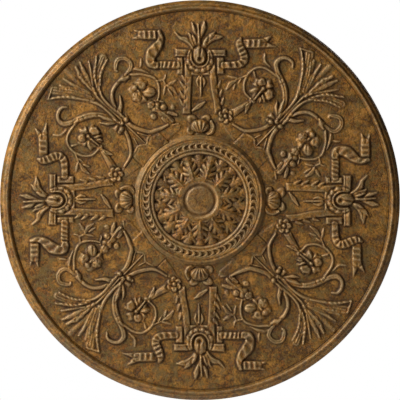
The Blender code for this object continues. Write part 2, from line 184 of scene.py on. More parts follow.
class Relief:
    """The carved heights of one grid of points, in millimetres in front of the field."""

    def __init__(self, across, out):
        """Starts flat, with the place of each grid point in the drawing."""
        self.across = across
        self.out = out
        self.height = np.zeros_like(across)
        self.turn(0.0)

    def turn(self, lead):
        """Draws what follows turned clockwise by so many degrees."""
        angle = math.radians(lead)
        self.u = self.across * math.cos(angle) - self.out * math.sin(angle)
        self.v = self.across * math.sin(angle) + self.out * math.cos(angle)

    def near(self, low, high):
        """The grid's points inside a box of the drawing."""
        u, v = self.u, self.v
        return np.nonzero((u > low[0]) & (u < high[0]) & (v > low[1]) & (v < high[1]))

    def round_about(self, place, reach):
        """The grid's points in a square round a place."""
        return self.near((place[0] - reach, place[1] - reach), (place[0] + reach, place[1] + reach))

    def keep(self, spot, rise):
        """Raises the points to a rise where that is higher."""
        self.height[spot] = np.maximum(self.height[spot], rise)

    def along(self, path, reach):
        """For the points near a line: their indices, distance, share along it and side (-1 on the left)."""
        line, shares = smooth_path(path)
        spot = self.near(line.min(axis=0) - reach, line.max(axis=0) + reach)
        u, v = self.u[spot], self.v[spot]
        best = np.full(u.shape, 1e9)
        share = np.zeros(u.shape)
        side = np.ones(u.shape)
        for index in range(len(line) - 1):
            start, step = line[index], line[index + 1] - line[index]
            part, off_u, off_v = off_segment(u, v, start, step)
            gap = off_u * off_u + off_v * off_v
            closer = gap < best
            best = np.where(closer, gap, best)
            share = np.where(closer, shares[index] + part * (shares[index + 1] - shares[index]), share)
            side = np.where(closer, np.sign(step[1] * off_u - step[0] * off_v), side)
        return spot, np.sqrt(best), share, side

    def moat(self, spot, outside, depth):
        """Cuts the carving back beside a piece that overlaps it."""
        fall = depth * np.exp(-(np.maximum(outside, 0) / MOAT_WIDTH) ** 2)
        self.height[spot] *= np.where(outside > 0, 1 - fall, 1)

    def stroke(self, path, width, rise, taper, moat, section="round", ribs=0, beat=0):
        """A raised line: a stem, tendril or leaf. Its width changes along it, and so may its rise.

        The section is round, flat, ridged, veined, hollow or lobed, which is veined with a wavy
        edge. Ribs are the waves along it, and the beat is how deep they cut.
        """
        half = 0.5 * width
        spot, gap, share, side = self.along(path, half * max(taper) + 4)
        wide = half * between(share, taper)
        if section == "lobed":
            wide = wide * (0.78 + 0.3 * np.abs(np.cos(math.pi * ribs * share)))
        rises = between(share, rise) if isinstance(rise, tuple) else rise
        x = gap / wide
        inside = np.clip(1 - x * x, 0, 1)
        if section == "flat":
            form = np.clip((1 - x) * 3.2, 0, 1) ** 0.6
        elif section == "ridged":
            form = 0.55 * np.clip(inside * 2.5, 0, 1) ** 0.5 + 0.45 * np.clip(1 - x, 0, 1)
        elif section in ("veined", "lobed"):
            form = inside ** 0.45 * (0.72 + 0.28 * np.clip(x * 2.6, 0, 1))
        elif section == "hollow":
            form = inside ** 0.4 * (0.45 + 0.55 * np.clip(x * 1.5, 0, 1) ** 2)
        else:
            form = inside ** 0.5 * (1.0 - 0.12 * np.clip(1 - 2.2 * x, 0, 1))
        if beat:
            slant = x * side if section in ("round", "flat") else x
            form = form * (1 - beat * (0.5 - 0.5 * np.cos(2 * math.pi * (ribs * share - 0.22 * slant))))
        if moat:
            self.moat(spot, gap - wide, moat)
        self.keep(spot, rises * form)

    def reeds(self, path, width, rise, count, taper, moat, deep=0.45):
        """A blade or ear made of fine ribs that run along it."""
        spot, gap, share, side = self.along(path, 0.5 * width * max(taper) + 4)
        wide = 0.5 * width * between(share, taper)
        x = gap / wide
        inside = np.clip(1 - x * x, 0, 1)
        ribs = np.abs(np.cos(0.5 * math.pi * count * (x * side + 1)))
        form = inside ** 0.35 * (1 - deep * ribs)
        self.moat(spot, gap - wide, moat)
        self.keep(spot, rise * form)

    def plate(self, outline, rise, edge, moat=0.0, tilt=0.0):
        """A flat raised shape with rounded edges. The tilt is its extra rise for each unit across."""
        corners = np.array(outline, dtype=float)
        spot = self.near(corners.min(axis=0) - 3, corners.max(axis=0) + 3)
        u, v = self.u[spot], self.v[spot]
        inside = np.zeros(u.shape, dtype=bool)
        gap = np.full(u.shape, 1e9)
        for start, end in zip(corners, np.roll(corners, -1, axis=0)):
            step = end - start
            part, off_u, off_v = off_segment(u, v, start, step)
            gap = np.minimum(gap, np.hypot(off_u, off_v))
            if start[1] != end[1]:
                crossed = (v < start[1]) != (v < end[1])
                inside ^= crossed & (u < start[0] + (v - start[1]) * step[0] / step[1])
        if moat:
            self.moat(spot, np.where(inside, -gap, gap), moat)
        level = rise + tilt * (u - corners.mean(axis=0)[0])
        self.keep(spot, np.where(inside, level * np.clip(gap / edge, 0, 1) ** 0.6, 0))

    def bead(self, place, size, rise, lean, moat=0.6, dimple=0.0, power=0.5, rays=0):
        """A rounded lump, so wide and long, leaning to the left by degrees. A dimple sinks its middle."""
        wide, long = (size if isinstance(size, tuple) else (size, size))
        spot = self.round_about(place, 0.5 * max(wide, long) + 4)
        angle = math.radians(lean)
        u, v = self.u[spot] - place[0], self.v[spot] - place[1]
        a = (u * math.cos(angle) + v * math.sin(angle)) / (0.5 * wide)
        b = (v * math.cos(angle) - u * math.sin(angle)) / (0.5 * long)
        x = np.hypot(a, b)
        form = np.clip(1 - x * x, 0, 1) ** power
        if dimple:
            form = form * (1 - dimple * np.exp(-(x / 0.42) ** 2))
        if rays:
            form = form * (1 - 0.3 * (0.5 - 0.5 * np.cos(rays * np.arctan2(a, b))) * np.clip(x * 1.6, 0, 1))
        if moat:
            self.moat(spot, (x - 1) * 0.5 * min(wide, long), moat)
        self.keep(spot, rise * form)

    def fluted(self, place, size, rise, root, count):
        """A dome whose flutes fan out from a root."""
        spot = self.near((place[0] - size[0], place[1] - size[1]), (place[0] + size[0], place[1] + size[1]))
        u, v = self.u[spot], self.v[spot]
        x = np.hypot((u - place[0]) / (0.5 * size[0]), (v - place[1]) / (0.5 * size[1]))
        fan = np.arctan2(u - root[0], v - root[1])
        flutes = 0.5 + 0.5 * np.cos(count * 2 * fan)
        self.moat(spot, (x - 1) * 0.4 * size[1], 0.7)
        self.keep(spot, rise * np.clip(1 - x * x, 0, 1) ** 0.45 * (0.76 + 0.24 * flutes))

    def petal(self, place, size, rise, lean=0.0):
        """A cupped petal with a curled outer edge."""
        self.bead(place, size, rise, lean, dimple=0.4, power=0.42)

    def folds(self, path, width, rise, count, deep, taper, lean):
        """A flat ribbon pleated across its length. Each fold climbs slowly and drops back fast."""
        spot, gap, share, side = self.along(path, 0.5 * width * max(taper) + 4)
        wide = 0.5 * width * between(share, taper)
        x = gap / wide
        turn = (count * share - lean * x * side) % 1.0
        climb = smooth_step(np.where(turn < 0.62, turn / 0.62, (1 - turn) / 0.38))
        form = np.clip((1 - x) * 4.0, 0, 1) ** 0.6 * (1 - deep * (1 - climb))
        self.moat(spot, gap - wide, 0.5)
        self.keep(spot, rise * form)

    def blossom(self, place, radius, rise, petals, lead, squash, ruffle):
        """An open flower: cupped petals round a hollow middle, each lying over the next."""
        spot = self.round_about(place, radius + 4)
        u, v = self.u[spot] - place[0], (self.v[spot] - place[1]) / squash
        gap = np.hypot(u, v)
        turn = petals * (np.arctan2(u, v) - math.radians(lead)) / (2 * math.pi)
        part = turn - np.floor(turn)
        seam = np.abs(2 * part - 1)
        edge = radius * (1 - 0.36 * seam ** 4 + ruffle * np.cos(4 * math.pi * part + turn))
        x = gap / edge
        cup = 0.5 + 0.5 * smooth_step(1.5 * x)
        step = 0.74 + 0.26 * part
        crease = 1 - 0.1 * np.cos(4 * math.pi * part) * smooth_step(2 * x - 0.6)
        split = 1 - 0.6 * np.exp(-((1 - seam) / 0.1) ** 2) * smooth_step(2.4 * x - 0.4)
        form = np.clip((1 - x) * 3.6, 0, 1) ** 0.55 * cup * step * crease * split
        self.moat(spot, gap - edge, 0.5)
        self.keep(spot, rise * form)

    def ring(self, place, radius, width, rise, start, sweep, moat):
        """Part of a round line, from a compass angle through a sweep."""
        turns = np.radians(start + np.linspace(0, sweep, int(sweep / 24)))
        path = [(place[0] + radius * math.sin(t), place[1] + radius * math.cos(t)) for t in turns]
        self.stroke(path, width, rise, (0.8, 1.0, 0.6), moat)

    def cut(self, path, width, depth, taper=(0.4, 1.0, 0.4)):
        """A groove that takes a share of the height away."""
        spot, gap, share, side = self.along(path, width)
        wide = 0.5 * width * between(share, taper)
        self.height[spot] *= 1 - depth * np.exp(-(gap / wide) ** 2)

    def pit(self, place, size, depth):
        """A round hole that takes a share of the height away."""
        spot = self.round_about(place, 1.5 * size)
        gap = np.hypot(self.u[spot] - place[0], self.v[spot] - place[1])
        self.height[spot] *= 1 - depth * np.exp(-(gap / (0.55 * size)) ** 2)


def carve_straps(relief):
    """The low strap plates between the boss and the corner scrolls."""
    relief.plate([(-39, 69.5), (-37, 75.5), (-30, 78), (-20, 80), (-17, 78), (-17, 65), (-30, 67)], PLATE,
            1.2)
    relief.plate([(18, 78), (30, 76), (37, 73), (41, 66.5), (36, 63.6), (29, 64.3), (18, 65)], PLATE * 0.95,
            1.2)
    relief.plate([(-17, 60), (-17, 79), (-11, 81), (-5, 82), (-2, 80.5), (1.5, 78), (5, 80.5), (9, 81.5),
            (20, 78), (19.5, 60)], STRAP, 1.4)
    relief.stroke([(-38, 73), (-30, 76.5), (-20, 79), (-12.5, 80), (-5, 81.5), (1.5, 77.5), (9, 81),
            (20, 77.5), (30, 75), (39, 69)], 2.2, STRAP * 1.2, (0.7, 1.0, 0.7), 0.3)


def carve_knob(relief):
    """The fluted knob on five lobes that seats the trophy on the boss."""
    relief.petal((-7.4, 80.6), (12, 9), PETAL, -30)
    relief.petal((5.8, 81), (11, 8.4), PETAL, 30)
    relief.petal((-9.4, 69), (8, 9), PETAL * 0.95, 30)
    relief.stroke([(5, 64.6), (10.5, 68.5), (12.4, 73), (11.4, 78.4)], 6.4, PETAL * 0.95,
            (0.5, 1.1, 1, 0.5), 0.5, "veined")
    relief.petal((0.3, 64.6), (9.5, 6.6), PETAL * 0.95)
    relief.fluted((0.3, 73.8), (18.4, 13.6), BUD, (0.3, 64.4), 9)


def carve_trophy(relief):
    """The upright trophy: two gadrooned posts, capped blocks, a bud in its collar and a palmette."""
    relief.plate([(-9, 86), (-17.5, 86), (-17.3, 91), (-16.5, 100), (-15, 125), (-15.7, 143), (-15.7, 150),
            (-10, 150), (-10, 141), (-7.7, 125), (-9, 100)], POST, 0.9, 0.3)
    relief.plate([(22.2, 86), (14.5, 86), (13.7, 97), (10.8, 110), (9.3, 125), (10, 141), (10, 150),
            (15.3, 150), (15.3, 143), (16.7, 125), (18, 110), (20.7, 97)], POST, 0.9, 0.3)
    for foot, tip in (((-15.4, 112.6), (-19.6, 118.6)), ((-16, 102.6), (-19.8, 109)),
            ((-16.6, 95), (-20, 101)), ((18.6, 113.4), (20.6, 119.4)), ((20.2, 104.4), (22.2, 110.6)),
            ((22, 96.4), (23.8, 102.6)), ((-14.8, 119.6), (-18, 125))):
        relief.stroke([foot, tip], 3.6, POST * (0.95 if foot[0] < 0 else 0.7), (1.0, 1.0, 0.3), 0.35,
                "ridged")
    relief.plate([(-8.6, 124.6), (-8.6, 131.4), (9.9, 131.4), (9.9, 124.6)], POST * 0.96, 0.9, 0.3)
    relief.plate([(-22.8, 131), (-22.8, 143), (-16.9, 143), (-16.9, 131)], POST * 1.15, 0.8, 0.5)
    relief.plate([(-22.8, 125.8), (-22.8, 131), (-16.9, 131), (-16.9, 125.8)], POST * 0.75, 0.8, 0.4)
    relief.plate([(17, 125.8), (17, 143), (24.2, 143), (24.2, 125.8)], POST * 1.1, 0.8, 0.5)
    relief.plate([(-24.8, 143.2), (-24.8, 151.6), (-8.7, 150.6), (-8.7, 143.2)], CAP, 0.9, 0.5)
    relief.plate([(8, 143.5), (8, 150.5), (26, 150.5), (26, 143.5)], CAP, 0.9, 0.5)
    relief.cut([(-24, 145.6), (-9.5, 145.6)], 1.1, 0.3, (1, 1))
    relief.cut([(9, 145.9), (25, 145.9)], 1.1, 0.3, (1, 1))
    relief.stroke([(-9.4, 148.4), (-11, 142), (-9, 135.6), (-4.6, 131.4), (1, 130), (6.6, 131.8),
            (10.4, 136.6), (11.2, 142.6), (9.4, 148.4)], 5.4,
            (RIBBON * 0.75, RIBBON * 0.85, RIBBON * 0.9, RIBBON * 0.85, RIBBON * 0.75),
            (0.6, 1, 1.1, 1, 0.6), 0.6)
    for compass in (108, 137, 166, 195, 224, 253):
        turn = math.radians(compass)
        relief.bead((11.4 * math.sin(turn), 141.2 + 11.4 * math.cos(turn)), (6.8, 6.2), RIBBON * 0.9,
                -compass, 0.4)
    relief.stroke([(-8, 148), (-8.6, 141.6), (-6.4, 136.6), (-2.6, 133.8), (1.6, 133.4), (6, 135.4),
            (8.6, 140.6), (8, 148)], 2.6, RIBBON * 0.98, (0.6, 1, 1, 0.6), 0.3)
    relief.stroke([(-6, 151), (-9, 156.6), (-14, 160.4), (-19.6, 162.2), (-24.6, 167.6)], 6,
            (STEM * 1.3, STEM, STEM * 0.8), (0.6, 1.0, 1.0, 0.6, 0.15), 0.6, "veined")
    relief.stroke([(-4.6, 154.6), (-8, 161.6), (-11.2, 167)], 4.6, STEM, (0.7, 1, 0.2), 0.5, "veined")
    relief.stroke([(3.6, 153), (7.6, 159), (12.6, 162.6), (17.6, 162.8), (23.4, 163.4)], 7.4,
            (STEM * 1.3, STEM, STEM * 0.8), (0.6, 0.9, 1.1, 0.8, 0.1), 0.6, "veined")
    relief.stroke([(7.6, 160), (11.6, 164.6), (15.4, 168)], 5, STEM, (0.6, 1, 0.15), 0.3, "veined")
    relief.stroke([(3.4, 154), (5.4, 158.6), (7.6, 163)], 4.4, STEM * 1.15, (0.7, 1, 0.3), 0.5, "ridged")
    relief.stroke([(-2.6, 154.4), (-4.8, 160), (-7.4, 165.4)], 3.6, STEM * 1.15, (0.7, 1, 0.2), 0.5,
            "ridged")
    relief.stroke([(-2.6, 164.6), (-5.6, 170), (-7.6, 177.6)], 4.6, STEM, (0.5, 1, 0.1), 0.5, "veined")
    relief.stroke([(-0.6, 160.4), (2.2, 168), (3.8, 173), (4.6, 178.6)], 5, STEM * 1.05,
            (0.5, 0.9, 1.1, 0.3), 0.5, "veined")
    relief.stroke([(-0.8, 154), (-1.2, 165), (-1.8, 176.2)], 3, STEM * 1.15, (1, 0.9, 0.3), 0.5, "ridged")
    relief.bead((-0.4, 144.6), (13, 18.6), BUD, 4, 0.75, power=0.4)
    relief.cut([(1.6, 154.4), (0.8, 149), (0, 143)], 2.2, 0.35)
    relief.cut([(-3.6, 152), (-4.4, 146), (-3.4, 140)], 1.2, 0.2)
    relief.ring((0.4, 140.8), 3.7, 1.7, BUD, 60, 260, 0.1)
    relief.pit((0.2, 141), 3.6, 0.7)
    relief.stroke([(-0.4, 123.6), (-2.4, 118.6), (-1.6, 113.6)], 3.4, STEM * 0.8, (0.6, 1.1, 0.3), 0.5,
            "veined")
    relief.stroke([(2, 123.6), (4.4, 118.6), (3.6, 113.6)], 3.4, STEM * 0.8, (0.6, 1.1, 0.3), 0.5, "veined")
    relief.stroke([(0.9, 122.4), (0.9, 112), (1, 104)], 2.6, STEM * 0.9, (0.9, 1.1, 0.3), 0.4)
    relief.stroke([(-7.4, 89.4), (-1, 93.8), (5.2, 98.2)], 5.2, STEM * 0.85, (0.4, 1.0, 0.3), 0.4, "veined")


def carve_ribbons(relief):
    """The folded ribbons that fly out on both sides of the trophy."""
    relief.plate([(-43, 160.4), (-43, 169.8), (-52, 170), (-58, 169.6), (-66.8, 170), (-59.8, 165.8),
            (-67.8, 161.2), (-58, 160.8), (-52, 160.2)], RIBBON * 0.6, 0.7, 0.4)
    relief.folds([(-41.8, 165), (-57.2, 165.2)], 9.6, RIBBON * 0.95, 3, 0.5, (1, 1), 0.08)
    relief.cut([(-57, 165.4), (-61, 165.6)], 1.4, 0.4)
    relief.folds([(-23.2, 135), (-36, 135.2), (-45.4, 135)], 7.8, RIBBON * 0.85, 5.6, 0.5, (1, 1), -0.2)
    relief.folds([(-44.4, 134.6), (-48.8, 136.4), (-49.6, 141.6), (-47.6, 147.6), (-43.4, 152.8),
            (-40, 158), (-39.2, 163), (-40.6, 168.6)], 11, RIBBON * 1.05, 5, 0.3,
            (0.7, 0.85, 0.95, 1.1, 0.95, 0.66, 0.5, 0.3), -0.35)
    relief.plate([(45.6, 151.6), (45.6, 161), (56, 161.4), (62, 161.6), (72.4, 165), (67.2, 157.8),
            (78, 152.8), (64, 152), (54, 151.4)], RIBBON * 0.6, 0.7, 0.4)
    relief.folds([(45.4, 156.4), (61.6, 156.6)], 9.4, RIBBON * 0.95, 3, 0.5, (1, 1), -0.08)
    relief.cut([(62, 157), (66.6, 157.8)], 1.4, 0.4)
    relief.folds([(24.4, 134.8), (32.4, 135), (38.8, 135.7), (43.2, 138.6), (44.2, 142.8), (42.8, 147.2),
            (40.6, 152), (39.4, 157), (40.8, 161)], 8.4, RIBBON, 9, 0.46,
            (0.84, 0.9, 0.95, 1, 1.05, 1.1, 1, 0.85, 0.4), 0.12)


def carve_stalks(relief):
    """The tied stalks above the boss and the scrolls that spring from the tie."""
    relief.stroke([(-3, 106), (-4.5, 100), (-6.5, 94.5), (-10.5, 88), (-15, 82.5), (-20, 79.5), (-30, 77)],
            4, STEM, (1, 1, 1, 0.9, 0.5), 0.5)
    relief.stroke([(4, 106), (4.5, 100), (7, 93.5), (10.5, 87), (13.5, 83), (18.5, 80.5), (25, 77.5),
            (31, 75.6)], 4.6, STEM, (1, 1, 1, 0.9, 0.5), 0.5)
    relief.stroke([(1, 107), (1.4, 93), (1.5, 79)], 2, STEM * 0.7, (1, 0.9, 0.5), 0.3)
    relief.stroke([(-3, 89.5), (-5.2, 82.6)], 1.8, STEM * 0.5, (0.6, 1, 0.4), 0.2)
    relief.stroke([(3.6, 91), (9, 81.8)], 1.8, STEM * 0.5, (0.6, 1, 0.4), 0.2)
    relief.stroke([(-1, 112), (-4.7, 121.3), (-9.2, 129), (-14.4, 134.9), (-20.3, 139.1), (-27.2, 142.2),
            (-35.3, 145.3), (-42.1, 149.6), (-43.4, 155.4), (-40.7, 160.2), (-35.9, 162.6), (-31.3, 162.4),
            (-28, 159)], 6, (STEM, STEM * 1.1, STEM, STEM, STEM * 0.9),
            (0.55, 0.65, 0.85, 1, 1.1, 1, 0.85, 0.9, 0.7, 0.62, 0.62, 0.5, 0.25), 0.5, "veined")
    relief.cut([(-28.4, 136.6), (-24.6, 139), (-23.4, 142.6)], 1.5, 0.4)
    relief.stroke([(4, 112), (4.5, 122), (7, 129), (10.5, 134.5), (15, 138.5), (21, 140.5), (27, 141)], 4.2,
            STEM, (1, 1, 0.9, 0.9), 0.55)
    relief.stroke([(-3, 113), (-7.4, 116.8), (-11.8, 119.6), (-15.8, 125)], 4.6, STEM * 1.1,
            (0.6, 1, 0.9, 0.1), 0.5, "ridged")
    relief.stroke([(-3, 115), (-6.6, 121), (-9.4, 126), (-11.8, 131.4)], 5, STEM * 1.3, (0.5, 1, 0.9, 0.15),
            0.4, "ridged")
    relief.stroke([(4, 115), (6.5, 120), (11.5, 123), (17, 129.6)], 4.4, RIBBON * 0.9, (0.6, 1, 0.9, 0.35),
            0.55, "veined")
    relief.plate([(-11.4, 107.4), (-11.4, 112.4), (8.6, 112.4), (8.6, 107.4)], STEM * 0.7, 1.6, 0.3)
    relief.stroke([(-8.6, 104.6), (-4.4, 105.6)], 4.6, STEM * 1.3, (0.8, 1.0), 0.4, "flat")
    relief.bead((-5.2, 105.4), (4.8, 4.8), BUD * 0.85, 0, 0.5, power=0.4)
    relief.bead((4.6, 109.2), (5.6, 6), BUD * 0.85, 0, 0.6, power=0.4)
    relief.bead((-1, 109.8), (5, 5), BUD * 0.95, 45, 0.6, power=0.4)


def carve_scrolls(relief):
    """The sheaths, hooks and round tendrils on both sides."""
    relief.stroke([(-36, 107.5), (-43, 107.5), (-47, 109.5), (-51, 113.5), (-53.5, 118.5), (-55, 124),
            (-54.7, 128.5), (-53.5, 133.5), (-50, 137.5), (-45, 140), (-38, 141.4), (-30, 142.6)], 2.7,
            TENDRIL, (0.8, 1, 1, 1), 0.4)
    relief.stroke([(-52, 128.6), (-47, 125.8)], 2.6, TENDRIL * 0.9, (1, 0.4), 0.3)
    relief.stroke([(-57.4, 149.6), (-55, 146.5), (-51.5, 144), (-44.6, 143.8)], 2.8, SPRIG,
            (0.4, 1, 1, 0.4), 0.3)
    relief.stroke([(38.5, 139), (42.5, 135), (47.5, 130.5), (51, 125.5), (53.5, 120), (54, 116),
            (52.5, 111), (49, 106.5), (45, 103), (41, 100.5)], 2.7, TENDRIL, (1, 1, 1, 0.8), 0.5)
    relief.stroke([(42, 140.6), (48, 138.2), (51, 134), (52.5, 128)], 2.4, TENDRIL * 0.9, (0.9, 1, 0.5),
            0.4)
    relief.stroke([(52, 136), (55, 138), (58, 141)], 3, SPRIG, (0.4, 1, 0.3), 0.3)
    relief.stroke([(46, 138.6), (50.6, 132.6), (54, 125)], 3.4, TENDRIL, (0.3, 1, 0.2), 0.4, "ridged")
    relief.stroke([(27.6, 141.6), (32.4, 139.6), (36.6, 137.6)], 6.6, PETAL, (0.35, 1.1, 0.45), 0.55,
            "ridged")
    relief.stroke([(36, 141.2), (42, 141.6), (46.4, 143.6), (48, 148), (47, 153), (43, 156.4),
            (39.4, 156.6), (35.6, 154.4), (32.6, 151.8), (32.6, 149.4)], 3.9, STEM * 0.85,
            (0.6, 1, 1, 1, 0.5), 0.5, "hollow")


def carve_flowers(relief):
    """A flower inside each round tendril."""
    relief.blossom((-33.3, 122.2), 12.4, PETAL * 1.1, 5, -40, 1.0, 0.08)
    relief.plate([(-30.4, 127), (-25, 129), (-20.8, 124.6), (-21.8, 118.6), (-26.4, 117), (-30, 121)],
            PETAL * 1.2, 1.2, 0.4, 0.22)
    relief.stroke([(-29.8, 118.4), (-27, 111.6)], 3.2, PETAL * 1.3, (0.6, 1, 0.5), 0.5)
    relief.stroke([(-29.8, 118.4), (-24.6, 115.6)], 3, PETAL * 1.2, (0.6, 1, 0.5), 0.5)
    relief.petal((-39.4, 127), (8, 9), PETAL * 1.25, 40)
    relief.stroke([(-33.8, 123.4), (-33.4, 117), (-32.6, 110)], 2.6, BUD * 0.86, (1.3, 0.8, 0.7), 0.5)
    relief.bead((-33.8, 123.6), (4.2, 4.2), BUD * 0.95, 0, 0.4)
    relief.blossom((35.4, 118.6), 12.0, PETAL, 4, 0, 1.05, 0.06)
    relief.bead((28, 117.4), (9.4, 9.8), PETAL * 1.2, 20, 0.5, power=0.4, rays=5)
    relief.bead((40.6, 111.6), (12.4, 9.4), PETAL * 1.25, -28, 0.5, power=0.36)
    relief.bead((39.8, 122.6), (8, 10.6), PETAL * 1.15, 10, 0.4, power=0.4, dimple=0.3)
    relief.bead((33.6, 125.4), (6, 5.6), PETAL * 1.1, 0, 0.4)
    relief.cut([(36, 115), (41, 109.6), (43.6, 107.4)], 1.6, 0.3)


def carve_cups(relief):
    """The flared cup, the beaded daisy, the spindle and the berries that hang inwards from the rings."""
    relief.stroke([(-33.8, 104.5), (-35.8, 95), (-38.6, 84)], 7.6, STEM * 1.05, (0.55, 0.85, 1.05), 0.5,
            "ridged")
    relief.bead((-33.6, 107.8), (7.4, 6.2), PETAL * 0.95, 0, 0.5, 0.2)
    relief.stroke([(-33, 104), (-32, 99), (-29.6, 94)], 4.4, STEM * 0.85, (0.5, 1, 0.4), 0.4, "veined")
    relief.bead((-41.2, 77.5), 14, PETAL * 0.6, 0, 0.5)
    for turn in range(6):
        angle = math.radians(60 * turn + 12)
        relief.petal((-41.2 + 4.8 * math.sin(angle), 77.5 + 4.8 * math.cos(angle)), (5.8, 6.2),
                PETAL * 1.05, -60 * turn - 12)
    relief.bead((-41.2, 77.5), 4.4, PETAL * 1.25, 0, 0.5)
    relief.stroke([(33.6, 121), (32.6, 113), (32.6, 107.5), (35, 103.6), (40, 100.5), (43.6, 95)], 2.8,
            (BUD * 0.8, PETAL, STEM * 0.8), (1, 1, 0.8, 0.5), 0.4)
    relief.stroke([(33, 104), (34.6, 97), (36, 88), (36.2, 76)], 10.4, PETAL, (0.55, 1.0, 0.9, 0.5), 0.5,
            "lobed", 3)
    relief.stroke([(34.6, 95), (36.2, 84), (36, 74.6)], 2.4, PETAL * 1.12, (0.8, 1, 0.6), 0.1)
    relief.stroke([(31.6, 84), (32.6, 75.4)], 4.6, PETAL * 0.8, (0.7, 1, 0.6), 0.4, "veined")
    relief.stroke([(40, 84), (43.8, 76.6)], 4.8, PETAL * 0.82, (0.7, 1, 0.6), 0.4, "veined")
    relief.bead((32.6, 101.6), (8.4, 6.4), PETAL * 0.95, 0, 0.5, 0.2)
    relief.bead((26.3, 91.5), (6, 7), PETAL * 0.8, 30, 0.6, dimple=0.25)
    relief.bead((40.2, 91.2), 6.6, PETAL * 0.95, 0, 0.6)
    relief.bead((46.5, 84.5), (6, 5), TENDRIL * 0.7, 30, 0.3)


def carve_sprigs(relief):
    """The small leaves outside the rings."""
    relief.stroke([(-55, 122), (-56.5, 117.5), (-59.4, 111)], 1.9, SPRIG, (1, 0.9), 0.3)
    relief.stroke([(-59, 110), (-60.4, 104), (-59.5, 97)], 5, SPRIG, (0.4, 1, 0.4), 0.3, "veined")
    relief.stroke([(-60, 112.4), (-67.4, 107.6)], 3.2, SPRIG, (0.5, 1, 0.4), 0.3, "veined")
    relief.stroke([(-56.4, 115), (-55.4, 109.6)], 2.2, SPRIG * 0.9, (0.5, 1, 0.4), 0.2)
    relief.stroke([(-57, 107), (-54.2, 101.4)], 3, SPRIG * 0.9, (0.5, 1, 0.4), 0.2)
    relief.stroke([(54, 114.5), (59, 111), (62, 111), (64.4, 112.8)], 2.2, SPRIG, (0.8, 1, 0.5), 0.3)
    relief.stroke([(59, 110), (57, 105)], 1.9, SPRIG, (1, 1), 0.2)
    relief.stroke([(56.5, 105), (49.2, 100.2)], 2.8, SPRIG, (0.5, 1, 0.4), 0.2, "veined")
    relief.stroke([(58.5, 103.6), (67.8, 101.4)], 3.8, SPRIG, (0.5, 1, 0.4), 0.3, "veined")
    relief.stroke([(58, 104), (59.4, 98), (58.5, 91.8)], 4.6, SPRIG, (0.5, 1, 0.4), 0.3, "veined")
    relief.stroke([(56, 100.6), (54.4, 93)], 2.8, SPRIG, (0.5, 1, 0.4), 0.2)


def carve_wheat(relief):
    """The fan of blades, ears and narrow leaves above the tie."""
    relief.stroke([(-2.4, 112), (-2, 128), (-4.4, 141), (-9.7, 150.6), (-15.6, 159)], 3.4, WHEAT * 1.25,
            (1, 1, 0.7), 0.45)
    relief.stroke([(1.6, 112), (0.8, 130), (0.4, 144), (2.4, 158)], 2.6, WHEAT * 1.1, (1, 1, 0.7), 0.35)
    relief.stroke([(4.8, 113), (3.2, 130), (4.4, 143), (10.9, 154)], 3, WHEAT * 1.2, (1, 1, 0.7), 0.45)
    relief.reeds([(-1.2, 150), (-3.4, 160), (-2.8, 172), (-2.8, 186)], 5, WHEAT * 0.62, 3, (0.4, 0.8, 1, 1),
            0.3)
    relief.reeds([(-4, 146), (-9.6, 156), (-16, 167.6), (-25.6, 180.8)], 9, WHEAT * 1.05, 3,
            (0.35, 0.85, 1.0, 1.0), 0.4, 0.6)
    relief.stroke([(-8, 149), (-15.6, 159.6), (-21.5, 167), (-27.4, 172.4), (-36, 178.4)], 2.8,
            WHEAT * 1.35, (0.5, 1, 1.1, 1, 0.6), 0.3, "round", 7, 0.4)
    relief.stroke([(-24.4, 184), (-36, 178.2)], 1.8, WHEAT * 0.9, (1, 1), 0.2)
    relief.reeds([(-3.4, 150), (-8.4, 161), (-14, 170), (-17.9, 179.4)], 6.4, WHEAT, 3, (0.35, 0.8, 1, 0.4),
            0.45, 0.5)
    relief.stroke([(-6, 156), (-10.4, 164.6), (-16.4, 172), (-20.6, 177.6)], 1.8, WHEAT * 1.2,
            (0.6, 1, 0.5), 0.3, "round", 6, 0.4)
    relief.reeds([(-1.6, 152), (-7, 166), (-10.3, 181.4)], 4.6, WHEAT * 1.05, 2, (0.4, 1, 0.35), 0.5, 0.4)
    relief.cut([(0, 149), (-5.4, 161), (-10.6, 172.6)], 1.4, 0.6)
    relief.stroke([(1.8, 148), (2.6, 160), (3.6, 170), (6.2, 181.4)], 6.4, WHEAT * 1.15,
            (0.35, 0.8, 1.15, 0.35), 0.5, "lobed", 4)
    for place in ((4.4, 166.6), (3.2, 172.6), (6.6, 174)):
        relief.pit(place, 1.5, 0.6)
    relief.stroke([(3.4, 152), (6.2, 161.5), (9.1, 172.7), (12.7, 182)], 4.6, WHEAT * 1.1,
            (0.4, 0.8, 1.1, 0.3), 0.5, "lobed", 4)
    relief.stroke([(6.2, 156.8), (12.1, 165.1), (19.7, 176.3)], 3.4, WHEAT, (0.5, 1, 0.3), 0.5, "ridged")
    relief.reeds([(6, 149), (12, 156.4), (20.6, 163), (32.6, 168.4)], 7.6, WHEAT * 0.95, 3,
            (0.35, 0.8, 1, 1.0), 0.4, 0.55)
    relief.stroke([(7, 152), (11.6, 159.6), (16.2, 165), (21.5, 168.8), (28.6, 174.4)], 2.9, WHEAT * 1.3,
            (0.5, 1, 1.15, 1, 0.7), 0.35, "round", 6, 0.4)
    relief.stroke([(11, 151.4), (17, 157.6), (24, 161.4), (33.6, 164.4)], 2.9, WHEAT * 1.2,
            (0.5, 1, 1.1, 0.9, 0.6), 0.35, "round", 6, 0.4)
    for place in ((12.4, 156.6), (17.6, 161.4), (23, 165)):
        relief.pit(place, 1.9, 0.5)


def soften(height):
    """Rounds the heights a little. The grid's columns repeat."""
    height = 0.25 * (np.roll(height, 1, axis=1) + np.roll(height, -1, axis=1)) + 0.5 * height
    padded = np.vstack([height[:1], height, height[-1:]])
    return 0.25 * (padded[:-2] + padded[2:]) + 0.5 * height


